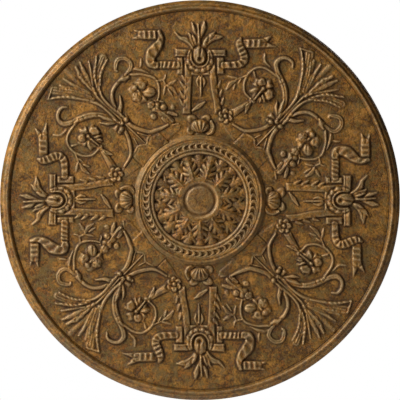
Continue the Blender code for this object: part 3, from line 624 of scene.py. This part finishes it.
def spread(height, reach):
    """An average of the heights round each point, taken twice, for telling hollows from ridges."""
    for _ in range(2):
        total = np.zeros_like(height)
        for shift in range(-reach, reach + 1):
            total += np.roll(height, shift, axis=1)
        height = total / (2 * reach + 1)
        padded = np.vstack([height[:1]] * reach + [height] + [height[-1:]] * reach)
        total = np.zeros_like(height)
        for shift in range(2 * reach + 1):
            total += padded[shift:shift + len(height)]
        height = total / (2 * reach + 1)
    return height


def profile_height(radii, points):
    """The turned height in millimetres at each radius, along the section's points."""
    section = np.array(points, dtype=float)
    return np.interp(radii, section[:, 0], section[:, 1])


class Sheet:
    """One ring or sector of the relief: heights on a grid of radii and compass angles.

    The masks for the finish come from the heights: how deep or how proud of its surroundings each point is.
    Deep points are painted darker, partly as patina and partly as painted shade; proud ones are painted
    paler, partly as wear and partly as painted highlight.
    """

    def __init__(self, radii, angles, height, reach=(2, 5), shade=0.82):
        """Takes the grid and its heights, the reaches to look round in and how strong the painted shade in
        the hollows is.
        """
        self.radii = radii
        self.angles = angles
        self.height = soften(height)
        near = self.height - spread(self.height, reach[0])
        wide = self.height - spread(self.height, reach[1])
        # The hollow mask marks points to paint darker, partly patina and partly painted shade; the other
        # mask marks points to paint paler, partly wear and partly painted highlight.
        self.hollow = shade * np.clip(-near * 1.1 - wide * 0.12 - 0.12, 0, 1.4)
        self.ridge = np.clip(near * 0.9 + wide * 0.12 - 0.08, 0, 1.4)

    def normals(self, unit):
        """The slope of the sheet as normals, in the drawing's directions."""
        step = self.angles[1] - self.angles[0]
        metres = self.height * 0.001
        round_slope = (np.roll(metres, -1, axis=1) - np.roll(metres, 1, axis=1)) / (2 * step)
        round_slope /= np.maximum(self.radii[:, None], 0.5) * unit
        out_slope = np.gradient(metres, self.radii * unit, axis=0)
        sine, cosine = np.sin(self.angles), np.cos(self.angles)
        slope_u = out_slope * sine + round_slope * cosine
        slope_v = out_slope * cosine - round_slope * sine
        length = np.sqrt(1 + slope_u ** 2 + slope_v ** 2)
        return np.stack([-slope_u / length, -slope_v / length, 1 / length], axis=-1)


def add_piece(name, corners, faces, masks, material):
    """A closed mesh as one visible piece of the medallion, with its masks for the finish: patina and painted
    shade in the hollows, wear and painted highlights on the ridges.
    """
    mesh = bpy.data.meshes.new(name)
    mesh.from_pydata(corners, [], faces)
    mesh.update()
    used = np.zeros(len(mesh.loops), dtype=np.int32)
    mesh.loops.foreach_get("edge_index", used)
    if np.any(np.bincount(used) != 2):
        raise RuntimeError(f"{name} isn't closed")
    mesh.calc_loop_triangles()
    if len(mesh.loop_triangles) > TRIANGLE_LIMIT:
        raise RuntimeError(f"{name} has more than {TRIANGLE_LIMIT} triangles")
    mesh.polygons.foreach_set("use_smooth", np.ones(len(mesh.polygons), dtype=bool))
    for mask, values in masks.items():
        mesh.attributes.new(mask, "FLOAT", "POINT").data.foreach_set("value", values)
    mesh.materials.append(material)
    piece = bpy.data.objects.new(name, mesh)
    bpy.context.scene.collection.objects.link(piece)
    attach(piece, "root")
    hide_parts("medallion")
    return piece


def make_piece(name, sheet, sizes, material, closes, lead=0.0):
    """A closed solid under a sheet: its carved top, upright sides and a flat underside.

    A sheet that closes goes right round. Otherwise the next sheet starts where it ends. The lead turns it
    clockwise by so many degrees.
    """
    unit = sizes.diameter / DRAWING_WIDTH
    rows, columns = sheet.height.shape
    order = np.arange(columns if closes else columns + 1)
    taken = order % columns
    step = sheet.angles[1] - sheet.angles[0]
    angles = sheet.angles[0] + step * order + math.radians(lead)
    u = sheet.radii[:, None] * np.sin(angles) * unit
    v = sheet.radii[:, None] * np.cos(angles) * unit
    top = sizes.field + 0.001 * sheet.height[:, taken]
    wide = len(order)
    spots = [np.stack([u, -top, v], axis=-1).reshape(-1, 3)]
    for row in (0, rows - 1):
        spots.append(np.stack([u[row], np.full(wide, -sizes.underside), v[row]], axis=-1))
    corners = np.concatenate(spots)
    inner, outer = rows * wide, rows * wide + wide
    across = np.arange(wide if closes else wide - 1)
    after = (across + 1) % wide
    faces = []
    for row in range(rows - 1):
        low, high = row * wide, (row + 1) * wide
        faces.append(np.stack([low + across, low + after, high + after, high + across], axis=-1))
    last = (rows - 1) * wide
    faces.append(np.stack([last + across, last + after, outer + after, outer + across], axis=-1))
    has_hole = sheet.radii[0] > CENTRE_EDGE
    if has_hole:
        faces.append(np.stack([across, inner + across, inner + after, after], axis=-1))
        faces.append(np.stack([inner + across, outer + across, outer + after, inner + after], axis=-1))
    polygons = np.concatenate(faces).tolist()
    if not has_hole:
        polygons.append(np.arange(wide)[::-1].tolist())
        polygons.append((outer + np.arange(wide)).tolist())
        corners = np.delete(corners, np.arange(inner, outer), axis=0)
        polygons = [[index - wide if index >= outer else index for index in face] for face in polygons]
    if not closes:
        start = [row * wide for row in range(rows)]
        polygons.append(start + [outer, inner])
        polygons.append([row + wide - 1 for row in start[::-1]] + [inner + wide - 1, outer + wide - 1])
    masks = {}
    for mask in ("hollow", "ridge"):
        masks[mask] = np.zeros(len(corners))
        masks[mask][:rows * wide] = getattr(sheet, mask)[:, taken].reshape(-1)
    piece = add_piece(name, corners.tolist(), polygons, masks, material)
    tops = sheet.normals(unit)[:, taken].reshape(-1, 3)
    sine, cosine = math.sin(math.radians(lead)), math.cos(math.radians(lead))
    turned = np.stack([tops[:, 0] * cosine + tops[:, 1] * sine, -tops[:, 2],
                       tops[:, 1] * cosine - tops[:, 0] * sine], axis=-1)
    below = np.tile([0.0, 1.0, 0.0], (len(corners) - len(turned), 1))
    piece.data.normals_split_custom_set_from_vertices(np.concatenate([turned, below]).tolist())


def carve_quarter(sizes):
    """The quarter of the field round the trophy at the top, with half of the corner scrolls on each side."""
    radii = np.linspace(BOSS_EDGE - 0.4, FIELD_EDGE, sizes.field_rows)
    angles = np.radians(-45 + 90 * np.arange(sizes.field_columns) / sizes.field_columns)
    across = radii[:, None] * np.sin(angles)
    out = radii[:, None] * np.cos(angles)
    relief = Relief(across, out)
    steps = [(45, carve_straps), (-45, carve_straps), (0, carve_trophy), (0, carve_ribbons), (0, carve_knob)]
    for lead in (45, -45):
        steps += [(lead, carve) for carve in (carve_cups, carve_stalks, carve_scrolls, carve_flowers,
                                              carve_sprigs, carve_wheat)]
    for lead, carve in steps:
        relief.turn(lead)
        carve(relief)
    dip = 0.35 * smooth_step((radii[:, None] - DIP_START) / 2.2)
    return Sheet(radii, angles, relief.height * sizes.boldness - dip)


def leaf_form(across, share, widths, lobes, rib):
    """Where a lobed leaf is, and how far its surface lies under its crown, in millimetres.

    The share goes from 0 at its root to 1 at its tip, and the lobes slant towards the tip.
    """
    half = between(share, widths) + 1e-6
    x = np.abs(across) / half
    wave = lobes * (share - 0.36 * x)
    part = wave - np.floor(wave)
    bump = np.sin(math.pi * part ** 1.4)
    cover = 0.66 + 0.4 * bump ** 0.7 + 0.5 * np.clip(1.3 - 4.4 * share, 0, 1)
    inside = (x < cover) & (share > 0) & (share < 1)
    gaps = 3.8 * (1 - bump) ** 1.3 * smooth_step(x * 2.2 - 0.35) * smooth_step(share * 4 - 0.4)
    lower = 4.4 * x ** 1.5 + gaps
    vein = 0.9 * np.exp(-((np.abs(across) - 1.8) / 0.7) ** 2) - 1.4 * np.exp(-(across / 0.9) ** 2)
    lower = lower + rib * vein * np.clip(1.5 - 1.5 * share, 0, 1)
    return inside, lower


def carve_rosette(sizes):
    """The hub with its button, and the two rows of leaves round it, in the dish."""
    per_leaf = sizes.rosette_columns // LEAF_COUNT
    pitch = 2 * math.pi / LEAF_COUNT
    radii = np.concatenate([[CENTRE_EDGE, 11.6], np.linspace(12.0, ROSETTE_EDGE + 0.3, sizes.rosette_rows)])
    local = pitch * (np.arange(per_leaf) / per_leaf - 0.5)
    away = radii[:, None]
    floor = profile_height(radii, [(0, 13.6), (12.2, 13.6), (13.0, 12.8), (14.7, 9.8), (15.7, 9.8),
            (17.3, 13.8), (18.4, 14.6), (21.4, 14.6), (22.2, 14.0), (22.9, 11.2), (26, 9.8), (29, 6.6),
            (32, 3.0), (36, 0.2), (43, -0.4), (45.4, 2.6), (46.1, 7.4), (46.8, 9.2), (48.0, 9.4),
            (48.8, 8.2), (49.5, 7.6)])[:, None]
    crown = profile_height(radii, [(20, 14.0), (23, 15.0), (28, 14.6), (33, 12.6), (37, 10.2), (39.6, 7.8),
            (41, 6)])
    crown_behind = profile_height(radii, [(26, 2.5), (28.5, 4), (31, 5.6), (34, 7.0), (38, 8.0), (42, 8.2),
            (44.6, 7.8), (46.4, 7.0)])
    height = floor + np.zeros((1, per_leaf))
    for middle, start, drop, lobes in ((0.0, 33.0, 1.2, 2.2), (-0.5 * pitch, 26.0, 0.0, 3.4),
                                       (0.5 * pitch, 26.0, 0.0, 3.4)):
        inside, lower = leaf_form(away * np.sin(local - middle), (away - start) / (LEAF_TIP - start),
                                  (2.0, 4.8, 7.4, 9.0, 9.4, 8.4, 5.6), lobes, 0.2)
        height = np.where(inside, np.maximum(height, crown_behind[:, None] - 1.1 * lower - drop), height)
    inside, lower = leaf_form(away * np.sin(local), (away - 20.5) / 20.2,
                              (6.6, 7.0, 7.8, 8.4, 8.6, 8.0, 6.4, 3.6), 3.4, 0.6)
    height = np.where(inside, np.maximum(height, crown[:, None] - lower), height)
    lobed_edge = 22.5 + 0.45 * np.cos(4 * math.pi * local / pitch)
    height = np.where(away < lobed_edge, np.maximum(height, np.where(away > 17, 14.4, 0.0)), height)
    height = np.where(away < HUB_EDGE, floor, height)
    height = np.tile(height, (1, LEAF_COUNT))
    start = math.radians(FIRST_LEAF) - 0.5 * pitch
    angles = start + 2 * math.pi * np.arange(height.shape[1]) / height.shape[1]
    sheet = Sheet(radii, angles, height, (2, 5), 1.35)
    # Painted highlights on the hub's two raised edges, and stronger wear and painted highlights on the
    # leaves; less painted shade in the hub's groove and past the leaf tips.
    lip_highlight = np.exp(-((radii - 13.4) / 0.9) ** 2) + np.exp(-((radii - 16.6) / 0.9) ** 2)
    sheet.ridge = 1.5 * sheet.ridge + 0.6 * lip_highlight[:, None]
    ends = (radii < HUB_GROOVE_EDGE) | (radii > LEAF_TIP)
    sheet.hollow = sheet.hollow * np.where(ends, 0.35, 1.0)[:, None]
    return sheet


def carve_chain(sizes):
    """The ring of overlapping links in its groove, and the slope down to the field."""
    per_link = sizes.link_columns
    pitch = 2 * math.pi / LINK_COUNT
    radii = np.linspace(ROSETTE_EDGE - 0.3, BOSS_EDGE + 0.4, sizes.chain_rows)
    base = profile_height(radii, [(48.6, 8.6), (49.0, 7.8), (49.6, 7.4), (50.4, 7.6), (56.6, 4.6),
            (57.3, 5.6), (58.1, 9.2), (58.9, 9.6), (59.6, 8.4), (60.1, 8.3), (60.9, 9.8), (61.8, 10.3),
            (62.4, 9.6), (65.6, 1.0), (66.0, 0.2), (66.8, 0.0)])[:, None]
    local = pitch * (np.arange(per_link) / per_link - 0.5)
    out = radii[:, None] - CHAIN_MIDDLE
    height = base + np.zeros((len(radii), per_link))
    link_wear_and_highlight = np.zeros_like(height)
    for shift in (1, 0, -1):
        ahead = CHAIN_MIDDLE * (local[None, :] + shift * pitch)
        bow = (ahead + 2.4 - 0.09 * np.abs(out) ** 3) / np.sqrt(1 + (0.27 * out * out) ** 2)
        swell = np.clip(bow / 0.9, 0, 1) ** 0.6 * np.clip((4.5 - bow) / 2.2, 0, 1) ** 0.8
        wide = np.clip(1 - (np.abs(out) / LINK_HALF_WIDTH) ** 4, 0, 1) ** 0.5
        eye = np.exp(-((ahead - 2.3) / 1.2) ** 2 - (out / 1.8) ** 2)
        height = np.maximum(height, base + LINK * swell * wide) - 0.8 * eye * (bow > 0)
        link_wear_and_highlight = np.maximum(link_wear_and_highlight, swell * wide * (1 - eye))
    height = np.tile(height, (1, LINK_COUNT))
    angles = 2 * math.pi * np.arange(height.shape[1]) / height.shape[1]
    sheet = Sheet(radii, angles, height, (1, 4), 0.85)
    # A painted highlight band on the boss's slope, and wear and painted highlights on the links' front
    # edges; less painted shade next to the rosette.
    slope = np.clip(1 - np.abs(radii - 64.4) / 2.2, 0, 1)[:, None]
    sheet.ridge = sheet.ridge + 0.7 * slope + 0.55 * np.tile(link_wear_and_highlight, (1, LINK_COUNT))
    sheet.hollow = sheet.hollow * np.where(radii < 50, 0.4, 1.0)[:, None]
    return sheet


def make_rim(sizes, material):
    """The turned rim with the flat back, all one closed piece."""
    unit = sizes.diameter / DRAWING_WIDTH
    edge = 0.5 * DRAWING_WIDTH
    seat = sizes.underside + SEAT_OVERLAP
    front = [(FIELD_EDGE - 0.6, -0.45), (188.4, -0.7), (189.0, -1.3), (189.7, -0.6), (190.2, 1.8),
            (190.7, 4.4), (191.3, 6.4), (192.0, 7.7), (192.7, 8.1), (193.4, 7.4), (194.0, 5.8),
            (194.6, 4.2), (195.2, 3.4), (195.9, 3.2), (196.6, 2.2), (197.3, 0.6), (198.0, -1.4),
            (198.7, -3.6), (199.3, -5.8), (199.8, -7.8), (edge, -8.6)]
    section = [(0.0, seat), (FIELD_EDGE - 1.4, seat)]
    section += [(radius, sizes.field + 0.001 * rise) for radius, rise in front]
    section += [(edge, BACK_CORNER[1]), (edge - BACK_CORNER[0], 0.0), (0.0, 0.0)]
    count = sizes.rim_columns
    turns = 2 * math.pi * np.arange(count) / count
    corners = [(0.0, -seat, 0.0)]
    for radius, height in section[1:-1]:
        for turn in turns:
            corners.append((radius * unit * math.sin(turn), -height, radius * unit * math.cos(turn)))
    corners.append((0.0, 0.0, 0.0))
    faces = []
    loops = len(section) - 2
    for column in range(count):
        after = (column + 1) % count
        faces.append((0, 1 + column, 1 + after)[::-1])
        for loop in range(loops - 1):
            low, high = 1 + loop * count, 1 + (loop + 1) * count
            faces.append((low + column, low + after, high + after, high + column))
        last = 1 + (loops - 1) * count
        faces.append((len(corners) - 1, last + column, last + after))
    masks = {"hollow": np.zeros(len(corners)), "ridge": np.zeros(len(corners))}
    for loop, (radius, _) in enumerate(section[1:-1]):
        spot = slice(1 + loop * count, 1 + (loop + 1) * count)
        # Painted shade in the groove inside the rim and a little between the reeds; wear and painted
        # highlights on the rim's top and its outer reeds.
        masks["hollow"][spot] = 0.6 if FIELD_EDGE < radius < 190.0 else 0.25 * (194.4 < radius < 195.0)
        masks["ridge"][spot] = 0.5 * (191.0 < radius < 193.0) + 0.4 * (195.5 < radius < 197.0)
    piece = add_piece("rim_and_back", corners, faces, masks, material)
    piece.data.set_sharp_from_angle(angle=math.radians(50))


class Wire:
    """A socket that takes part in sums. A Math node is added for each step."""

    def __init__(self, tree, socket):
        """Holds an output socket and the node tree it is in."""
        self.tree = tree
        self.socket = socket

    def step(self, operation, first, second):
        """Adds a Math node for one step."""
        node = self.tree.nodes.new("ShaderNodeMath")
        node.operation = operation
        for slot, value in zip(node.inputs, (first, second)):
            if isinstance(value, Wire):
                self.tree.links.new(value.socket, slot)
            else:
                slot.default_value = value
        return Wire(self.tree, node.outputs[0])

    def __add__(self, other):
        """This and the other."""
        return self.step("ADD", self, other)

    def __radd__(self, other):
        """The other and this."""
        return self.step("ADD", other, self)

    def __sub__(self, other):
        """This less the other."""
        return self.step("SUBTRACT", self, other)

    def __rsub__(self, other):
        """The other less this."""
        return self.step("SUBTRACT", other, self)

    def __mul__(self, other):
        """This times the other."""
        return self.step("MULTIPLY", self, other)

    def __rmul__(self, other):
        """The other times this."""
        return self.step("MULTIPLY", other, self)

    def held(self):
        """The value kept between 0 and 1."""
        wire = self.step("ADD", self, 0.0)
        wire.socket.node.use_clamp = True
        return wire


class Finish:
    """The nodes of a material or a world under construction."""

    def __init__(self, owner, shader):
        """Starts from the shader that the owner's node tree already has."""
        owner.use_nodes = True
        self.tree = owner.node_tree
        self.shader = self.tree.nodes[shader]

    def node(self, kind, settings=None, inputs=None, output=0):
        """Adds a node of a type, with its settings first and then its sockets' values or links."""
        node = self.tree.nodes.new(kind)
        for name, value in (settings or {}).items():
            if name == "stops":
                ends = node.color_ramp.elements
                stops = [ends[0]] + [ends.new(place) for place, colour in value[1:-1]] + [ends[-1]]
                for stop, (place, colour) in zip(stops, value):
                    stop.position = place
                    stop.color = colour
            else:
                setattr(node, name, value)
        self.feed(node, inputs or {})
        return Wire(self.tree, node.outputs[output])

    def feed(self, node, inputs):
        """Links a wire to each of a node's sockets, or sets the socket's value."""
        for name, value in inputs.items():
            if isinstance(value, Wire):
                self.tree.links.new(value.socket, node.inputs[name])
            else:
                node.inputs[name].default_value = value

    def noise(self, place, scale, detail, roughness=0.55, distortion=0.0):
        """Cloudy noise about 0.5, at so many spots to the metre."""
        return self.node("ShaderNodeTexNoise", {}, {"Vector": place, "Scale": scale, "Detail": detail,
                                                    "Roughness": roughness, "Distortion": distortion})

    def ramp(self, value, low, high):
        """A soft step from 0 at the low value to 1 at the high one."""
        return self.node("ShaderNodeMapRange", {"interpolation_type": "SMOOTHSTEP"},
                         {"Value": value, "From Min": low, "From Max": high})

    def mix(self, factor, first, second):
        """The second colour laid over the first by a factor."""
        return self.node("ShaderNodeMix", {"data_type": "RGBA"}, {0: factor, 6: first, 7: second}, 2)


def bronze_finish(colours):
    """Bronze paint rubbed over the relief: mottled brown, with painted shade in the hollows on top of the
    paint's darker patina there, and painted highlights on the ridges on top of their rubbed wear.
    """
    material = bpy.data.materials.new("rubbed_bronze")
    finish = Finish(material, "Principled BSDF")
    place = finish.node("ShaderNodeTexCoord", output=3)
    hollow = finish.node("ShaderNodeAttribute", {"attribute_name": "hollow"}, output=2)
    ridge = finish.node("ShaderNodeAttribute", {"attribute_name": "ridge"}, output=2)
    clouds = finish.noise(place, 14.0, 3.0, 0.6, 0.3)
    patches = finish.noise(place, 42.0, 5.0, 0.68, 0.5)
    blots = finish.noise(place, 95.0, 4.0, 0.7, 0.4)
    specks = finish.noise(place, 240.0, 3.0, 0.7, 0.2)
    grain = finish.noise(place, 700.0, 2.0, 0.6)
    tone = finish.ramp(0.20 * clouds + 0.34 * patches + 0.36 * blots + 0.28 * specks, *TONE_SPAN)
    colour = finish.node("ShaderNodeValToRGB", {"stops": (
        (0.0, tuple(colours.umber)), (0.42, tuple(colours.base)), (0.72, tuple(colours.gold)),
        (1.0, tuple(colours.ochre)))}, {"Fac": tone})
    rust = finish.ramp(finish.noise(place, 46.0, 5.0, 0.75, 0.8) + 0.9 * (specks - 0.5), *RUST_SPAN)
    olive = finish.ramp(finish.noise(place, 34.0, 5.0, 0.75, 0.9) + 0.8 * (blots - 0.5), *OLIVE_SPAN)
    ash = finish.ramp(finish.noise(place, 60.0, 4.0, 0.75, 0.6) + 0.9 * (grain - 0.5), *ASH_SPAN)
    middle = finish.node("ShaderNodeVectorMath", {"operation": "LENGTH"}, {0: place}, 1)
    button = 1.0 - finish.ramp(middle, *HUB_FADE)
    colour = finish.mix(rust * 0.6, colour, tuple(colours.rust))
    colour = finish.mix(olive * 0.8, colour, tuple(colours.olive))
    colour = finish.mix(ash * 0.7, colour, tuple(colours.ash))
    colour = finish.mix(button * (0.2 + 0.4 * rust), colour, tuple(colours.hub))
    # Dark specks, pulled a little into the hollows as painted shade.
    specks_and_shade = finish.ramp(specks + 0.5 * (blots - 0.5) + 0.3 * hollow, *SPECK_SHADE_SPAN)
    colour = finish.mix(specks_and_shade * 0.5, colour, tuple(colours.hollow))
    # Pale tan on proud points: partly rubbed wear, partly a painted highlight.
    rubbed_wear_and_highlight = (ridge * (0.2 + 1.1 * blots)).held()
    colour = finish.mix(rubbed_wear_and_highlight * 0.55, colour, tuple(colours.rubbed_wear_and_highlight))
    # Dark brown in the hollows: partly patina, partly painted shade.
    hollow_patina_and_shade = (hollow * (0.6 + 0.8 * patches)).held()
    colour = finish.mix(hollow_patina_and_shade * 0.55, colour, tuple(colours.hollow))
    rough = (0.46 + 0.3 * (patches - 0.5) + 0.25 * (specks - 0.5) + 0.2 * hollow_patina_and_shade - 0.06 * rubbed_wear_and_highlight).held()
    sand = 0.35 * grain + 0.9 * specks + 1.2 * blots + 1.2 * patches
    bump = finish.node("ShaderNodeBump", {}, {"Strength": 0.7, "Distance": 0.0016, "Height": sand})
    finish.feed(finish.shader, {"Base Color": colour, "Roughness": rough, "Metallic": 0.3,
                                "Specular IOR Level": 0.42, "Normal": bump})
    return material


def plain_finish(name, colour, roughness):
    """A plain matt studio paint with a faint grain."""
    material = bpy.data.materials.new(name)
    finish = Finish(material, "Principled BSDF")
    place = finish.node("ShaderNodeTexCoord", output=3)
    tone = finish.ramp(finish.noise(place, 4.0, 3.0), 0.2, 0.8)
    paint = finish.mix(tone, tuple(colour), FLOOR_FLECK)
    finish.feed(finish.shader, {"Base Color": paint, "Roughness": roughness})
    return material


def colour_property(name, description, *colour):
    """A colour that a user can change."""
    return bpy.props.FloatVectorProperty(name=name, description=description, default=(*colour, 1.0), size=4,
                                         min=0.0, max=1.0, subtype="COLOR")


def length_property(name, description, default, lowest):
    """A length that a user can change."""
    return bpy.props.FloatProperty(name=name, description=description, default=default, min=lowest,
                                   unit="LENGTH")


def share_property(name, description, default, lowest=0.0, highest=10.0):
    """A strength or a share that a user can change."""
    return bpy.props.FloatProperty(name=name, description=description, default=default, min=lowest,
                                   max=highest, subtype="FACTOR")


def count_property(name, description, default, lowest):
    """A whole number that a user can change."""
    return bpy.props.IntProperty(name=name, description=description, default=default, min=lowest)


class MedallionSizes(bpy.types.PropertyGroup):
    """Sizes of the relief and how finely it is drawn."""

    diameter: length_property("Diameter", "Width of the medallion", HIGH_CORNER[0] - LOW_CORNER[0], 0.1)
    field: length_property("Field", "Height of the plain field in front of the back", FACE_HEIGHT, 0.004)
    underside: length_property("Underside", "Height of the underside of the carved pieces", 0.003, 0.001)
    boldness: share_property("Boldness", "Share that the carving's rises are multiplied by", 1.0, 0.2, 1.3)
    field_rows: count_property("Field rows", "Grid rows between the boss and the rim", 226, 20)
    field_columns: count_property("Field columns", "Grid columns in a quarter", 400, 40)
    rosette_rows: count_property("Rosette rows", "Grid rows of the rosette", 86, 20)
    rosette_columns: count_property("Rosette columns", "Grid columns of the rosette", 704, 88)
    chain_rows: count_property("Chain rows", "Grid rows of the chain ring", 42, 12)
    link_columns: count_property("Link columns", "Grid columns of one link", 18, 8)
    rim_columns: count_property("Rim columns", "Grid columns of the rim", 480, 48)


class BronzeColours(bpy.types.PropertyGroup):
    """Colours of the bronze finish."""

    umber: colour_property("Umber", "The dark brown of the mottling", 0.066, 0.028, 0.0035)
    base: colour_property("Base", "The main brown", 0.156, 0.070, 0.0072)
    gold: colour_property("Gold", "Golden brown patches", 0.243, 0.115, 0.013)
    ochre: colour_property("Ochre", "The palest specks", 0.385, 0.180, 0.034)
    rust: colour_property("Rust", "Reddish patches", 0.262, 0.090, 0.009)
    olive: colour_property("Olive", "Grey olive patches", 0.116, 0.076, 0.019)
    hub: colour_property("Hub", "Dull reddish brown on the hub", 0.094, 0.036, 0.005)
    ash: colour_property("Ash", "Greyish brown patches", 0.124, 0.080, 0.039)
    # Used both for the darker patina and for painted shade in the hollows.
    hollow: colour_property("Hollow", "Dark brown in the hollows", 0.020, 0.0066, 0.0008)
    # Used both for rubbed wear and for painted highlights on the proud points.
    rubbed_wear_and_highlight: colour_property("Worn", "Pale tan on the rubbed ridges", 0.43, 0.30, 0.155)


class StudioLights(bpy.types.PropertyGroup):
    """Strengths of the studio's lights."""

    key: share_property("Key", "Strength of the main light", 1.92)
    raking: share_property("Raking", "Strength of the low light that catches the edges", 2.92)
    back: share_property("Back", "Strength of the light on the flat back", 1.3)
    fill: share_property("Fill", "Strength of the light from all round", 0.09)
    floor: colour_property("Floor", "The pale floor", 0.86, 0.86, 0.85)


def shared_bronze():
    """The bronze finish, made once."""
    made = bpy.data.materials.get("rubbed_bronze")
    return made or bronze_finish(bpy.context.scene.medallion_bronze)


class MEDALLION_OT_rim(bpy.types.Operator):
    """Adds the turned rim and the flat back"""

    bl_idname = "medallion.rim"
    bl_label = "Rim and back"

    def execute(self, context):
        make_rim(context.scene.medallion_sizes, shared_bronze())
        return {"FINISHED"}


class MEDALLION_OT_rosette(bpy.types.Operator):
    """Adds the hub and the leaves round it"""

    bl_idname = "medallion.rosette"
    bl_label = "Rosette"

    def execute(self, context):
        sizes = context.scene.medallion_sizes
        make_piece("rosette", carve_rosette(sizes), sizes, shared_bronze(), True)
        return {"FINISHED"}


class MEDALLION_OT_chain(bpy.types.Operator):
    """Adds the ring of links and the boss's slope"""

    bl_idname = "medallion.chain"
    bl_label = "Chain ring"

    def execute(self, context):
        sizes = context.scene.medallion_sizes
        make_piece("chain_ring", carve_chain(sizes), sizes, shared_bronze(), True)
        return {"FINISHED"}


class MEDALLION_OT_field(bpy.types.Operator):
    """Adds the four carved quarters of the field"""

    bl_idname = "medallion.field"
    bl_label = "Carved field"

    def execute(self, context):
        sizes = context.scene.medallion_sizes
        quarter = carve_quarter(sizes)
        for number in range(QUARTERS):
            make_piece(f"carved_quarter_{number}", quarter, sizes, shared_bronze(), False,
                    360 / QUARTERS * number)
        return {"FINISHED"}


class MEDALLION_OT_studio(bpy.types.Operator):
    """Adds the floor, the lights and the camera"""

    bl_idname = "medallion.studio"
    bl_label = "Studio"

    def execute(self, context):
        lights = context.scene.medallion_lights
        add_floor(lights)
        add_lights(lights)
        add_camera(context.scene)
        return {"FINISHED"}


def add_floor(lights):
    """A small pale floor that the medallion stands over."""
    mesh = bpy.data.meshes.new("floor")
    left, right, front, back = FLOOR_SIDES
    level = LOW_CORNER[2] - FLOOR_DROP
    mesh.from_pydata([(left, front, level), (right, front, level), (right, back, level),
            (left, back, level)], [], [(0, 1, 2, 3)])
    mesh.materials.append(plain_finish("pale_floor", lights.floor, 0.8))
    floor = bpy.data.objects.new("floor", mesh)
    bpy.context.scene.collection.objects.link(floor)


def add_softbox(name, strength):
    """A round light that faces the middle of the disc, where its strength is what arrives.

    The disc is lit a little more on the light's own side.
    """
    compass, height, softness, colour = LIGHTS[name]
    lamp = bpy.data.lights.new(f"{name}_light", "AREA")
    lamp.shape = "DISK"
    lamp.size = 2 * LIGHT_DISTANCE * math.tan(0.5 * math.radians(softness))
    lamp.energy = strength * math.pi * LIGHT_DISTANCE ** 2
    lamp.color = colour
    side = math.radians(compass)
    lift = math.radians(height)
    toward = (math.sin(side) * math.cos(lift), -math.sin(lift), math.cos(side) * math.cos(lift))
    holder = bpy.data.objects.new(lamp.name, lamp)
    holder.location = (LIGHT_DISTANCE * toward[0], LIGHT_DISTANCE * toward[1],
                       LIGHT_DISTANCE * toward[2] + MIDDLE_LEVEL)
    holder.rotation_euler = (math.atan2(math.hypot(toward[0], toward[1]), toward[2]), 0.0,
                             math.atan2(-toward[1], -toward[0]) - 0.5 * math.pi)
    bpy.context.scene.collection.objects.link(holder)


def add_lights(lights):
    """A key light and a raking light from the upper left, a light behind, and soft white all round."""
    for name in LIGHTS:
        add_softbox(name, getattr(lights, name))
    world = bpy.data.worlds.new("studio")
    studio = Finish(world, "Background")
    studio.feed(studio.shader, {"Color": FILL_COLOUR, "Strength": lights.fill})
    glow = Wire(studio.tree, studio.shader.outputs[0])
    seen = studio.node("ShaderNodeLightPath", output="Is Camera Ray")
    backdrop = studio.node("ShaderNodeBackground", {}, {"Color": WHITE, "Strength": 1.0})
    choice = studio.node("ShaderNodeMixShader", {}, {0: seen, 1: glow, 2: backdrop})
    studio.feed(studio.tree.nodes["World Output"], {"Surface": choice})
    bpy.context.scene.world = world


def add_camera(scene):
    """A long lens straight in front, with the disc filling the frame."""
    lens = bpy.data.cameras.new("front_camera")
    lens.lens = FOCAL_LENGTH
    lens.sensor_width = SENSOR_WIDTH
    lens.clip_end = CLIP_END
    radius = 0.5 * (HIGH_CORNER[0] - LOW_CORNER[0])
    half_frame = radius * (0.5 * DRAWING_WIDTH) / RADIUS_IN_FRAME
    distance = half_frame * lens.lens / (0.5 * lens.sensor_width)
    holder = bpy.data.objects.new("front_camera", lens)
    holder.location = (CAMERA_SHIFT[0], -distance - FACE_HEIGHT, MIDDLE_LEVEL + CAMERA_SHIFT[1])
    holder.rotation_euler = (math.radians(90), 0.0, 0.0)
    scene.collection.objects.link(holder)
    scene.camera = holder
    scene.view_settings.view_transform = "Standard"
    scene.view_settings.look = "None"


class MEDALLION_PT_panel(bpy.types.Panel):
    """Lists the sizes, the colours and the steps"""

    bl_label = "Ceiling medallion"
    bl_idname = "MEDALLION_PT_panel"
    bl_space_type = "VIEW_3D"
    bl_region_type = "UI"
    bl_category = "Medallion"

    def draw(self, context):
        scene = context.scene
        for group in (scene.medallion_sizes, scene.medallion_bronze, scene.medallion_lights):
            box = self.layout.box()
            for name in group.__annotations__:
                box.prop(group, name)
        for step in OPERATORS:
            self.layout.operator(step.bl_idname)


OPERATORS = (MEDALLION_OT_rim, MEDALLION_OT_rosette, MEDALLION_OT_chain, MEDALLION_OT_field,
        MEDALLION_OT_studio)
CLASSES = (MedallionSizes, BronzeColours, StudioLights) + OPERATORS + (MEDALLION_PT_panel,)


def register():
    """Makes the classes known to Blender and gives the scene its settings."""
    for entry in CLASSES:
        bpy.utils.register_class(entry)
    bpy.types.Scene.medallion_sizes = bpy.props.PointerProperty(type=MedallionSizes)
    bpy.types.Scene.medallion_bronze = bpy.props.PointerProperty(type=BronzeColours)
    bpy.types.Scene.medallion_lights = bpy.props.PointerProperty(type=StudioLights)


def unregister():
    """Takes the settings and the classes away again."""
    del bpy.types.Scene.medallion_lights
    del bpy.types.Scene.medallion_bronze
    del bpy.types.Scene.medallion_sizes
    for entry in reversed(CLASSES):
        bpy.utils.unregister_class(entry)


def main():
    """Builds every piece and the studio."""
    register()
    bpy.ops.medallion.rim()
    bpy.ops.medallion.rosette()
    bpy.ops.medallion.chain()
    bpy.ops.medallion.field()
    bpy.ops.medallion.studio()


if __name__ == "__main__":
    main()
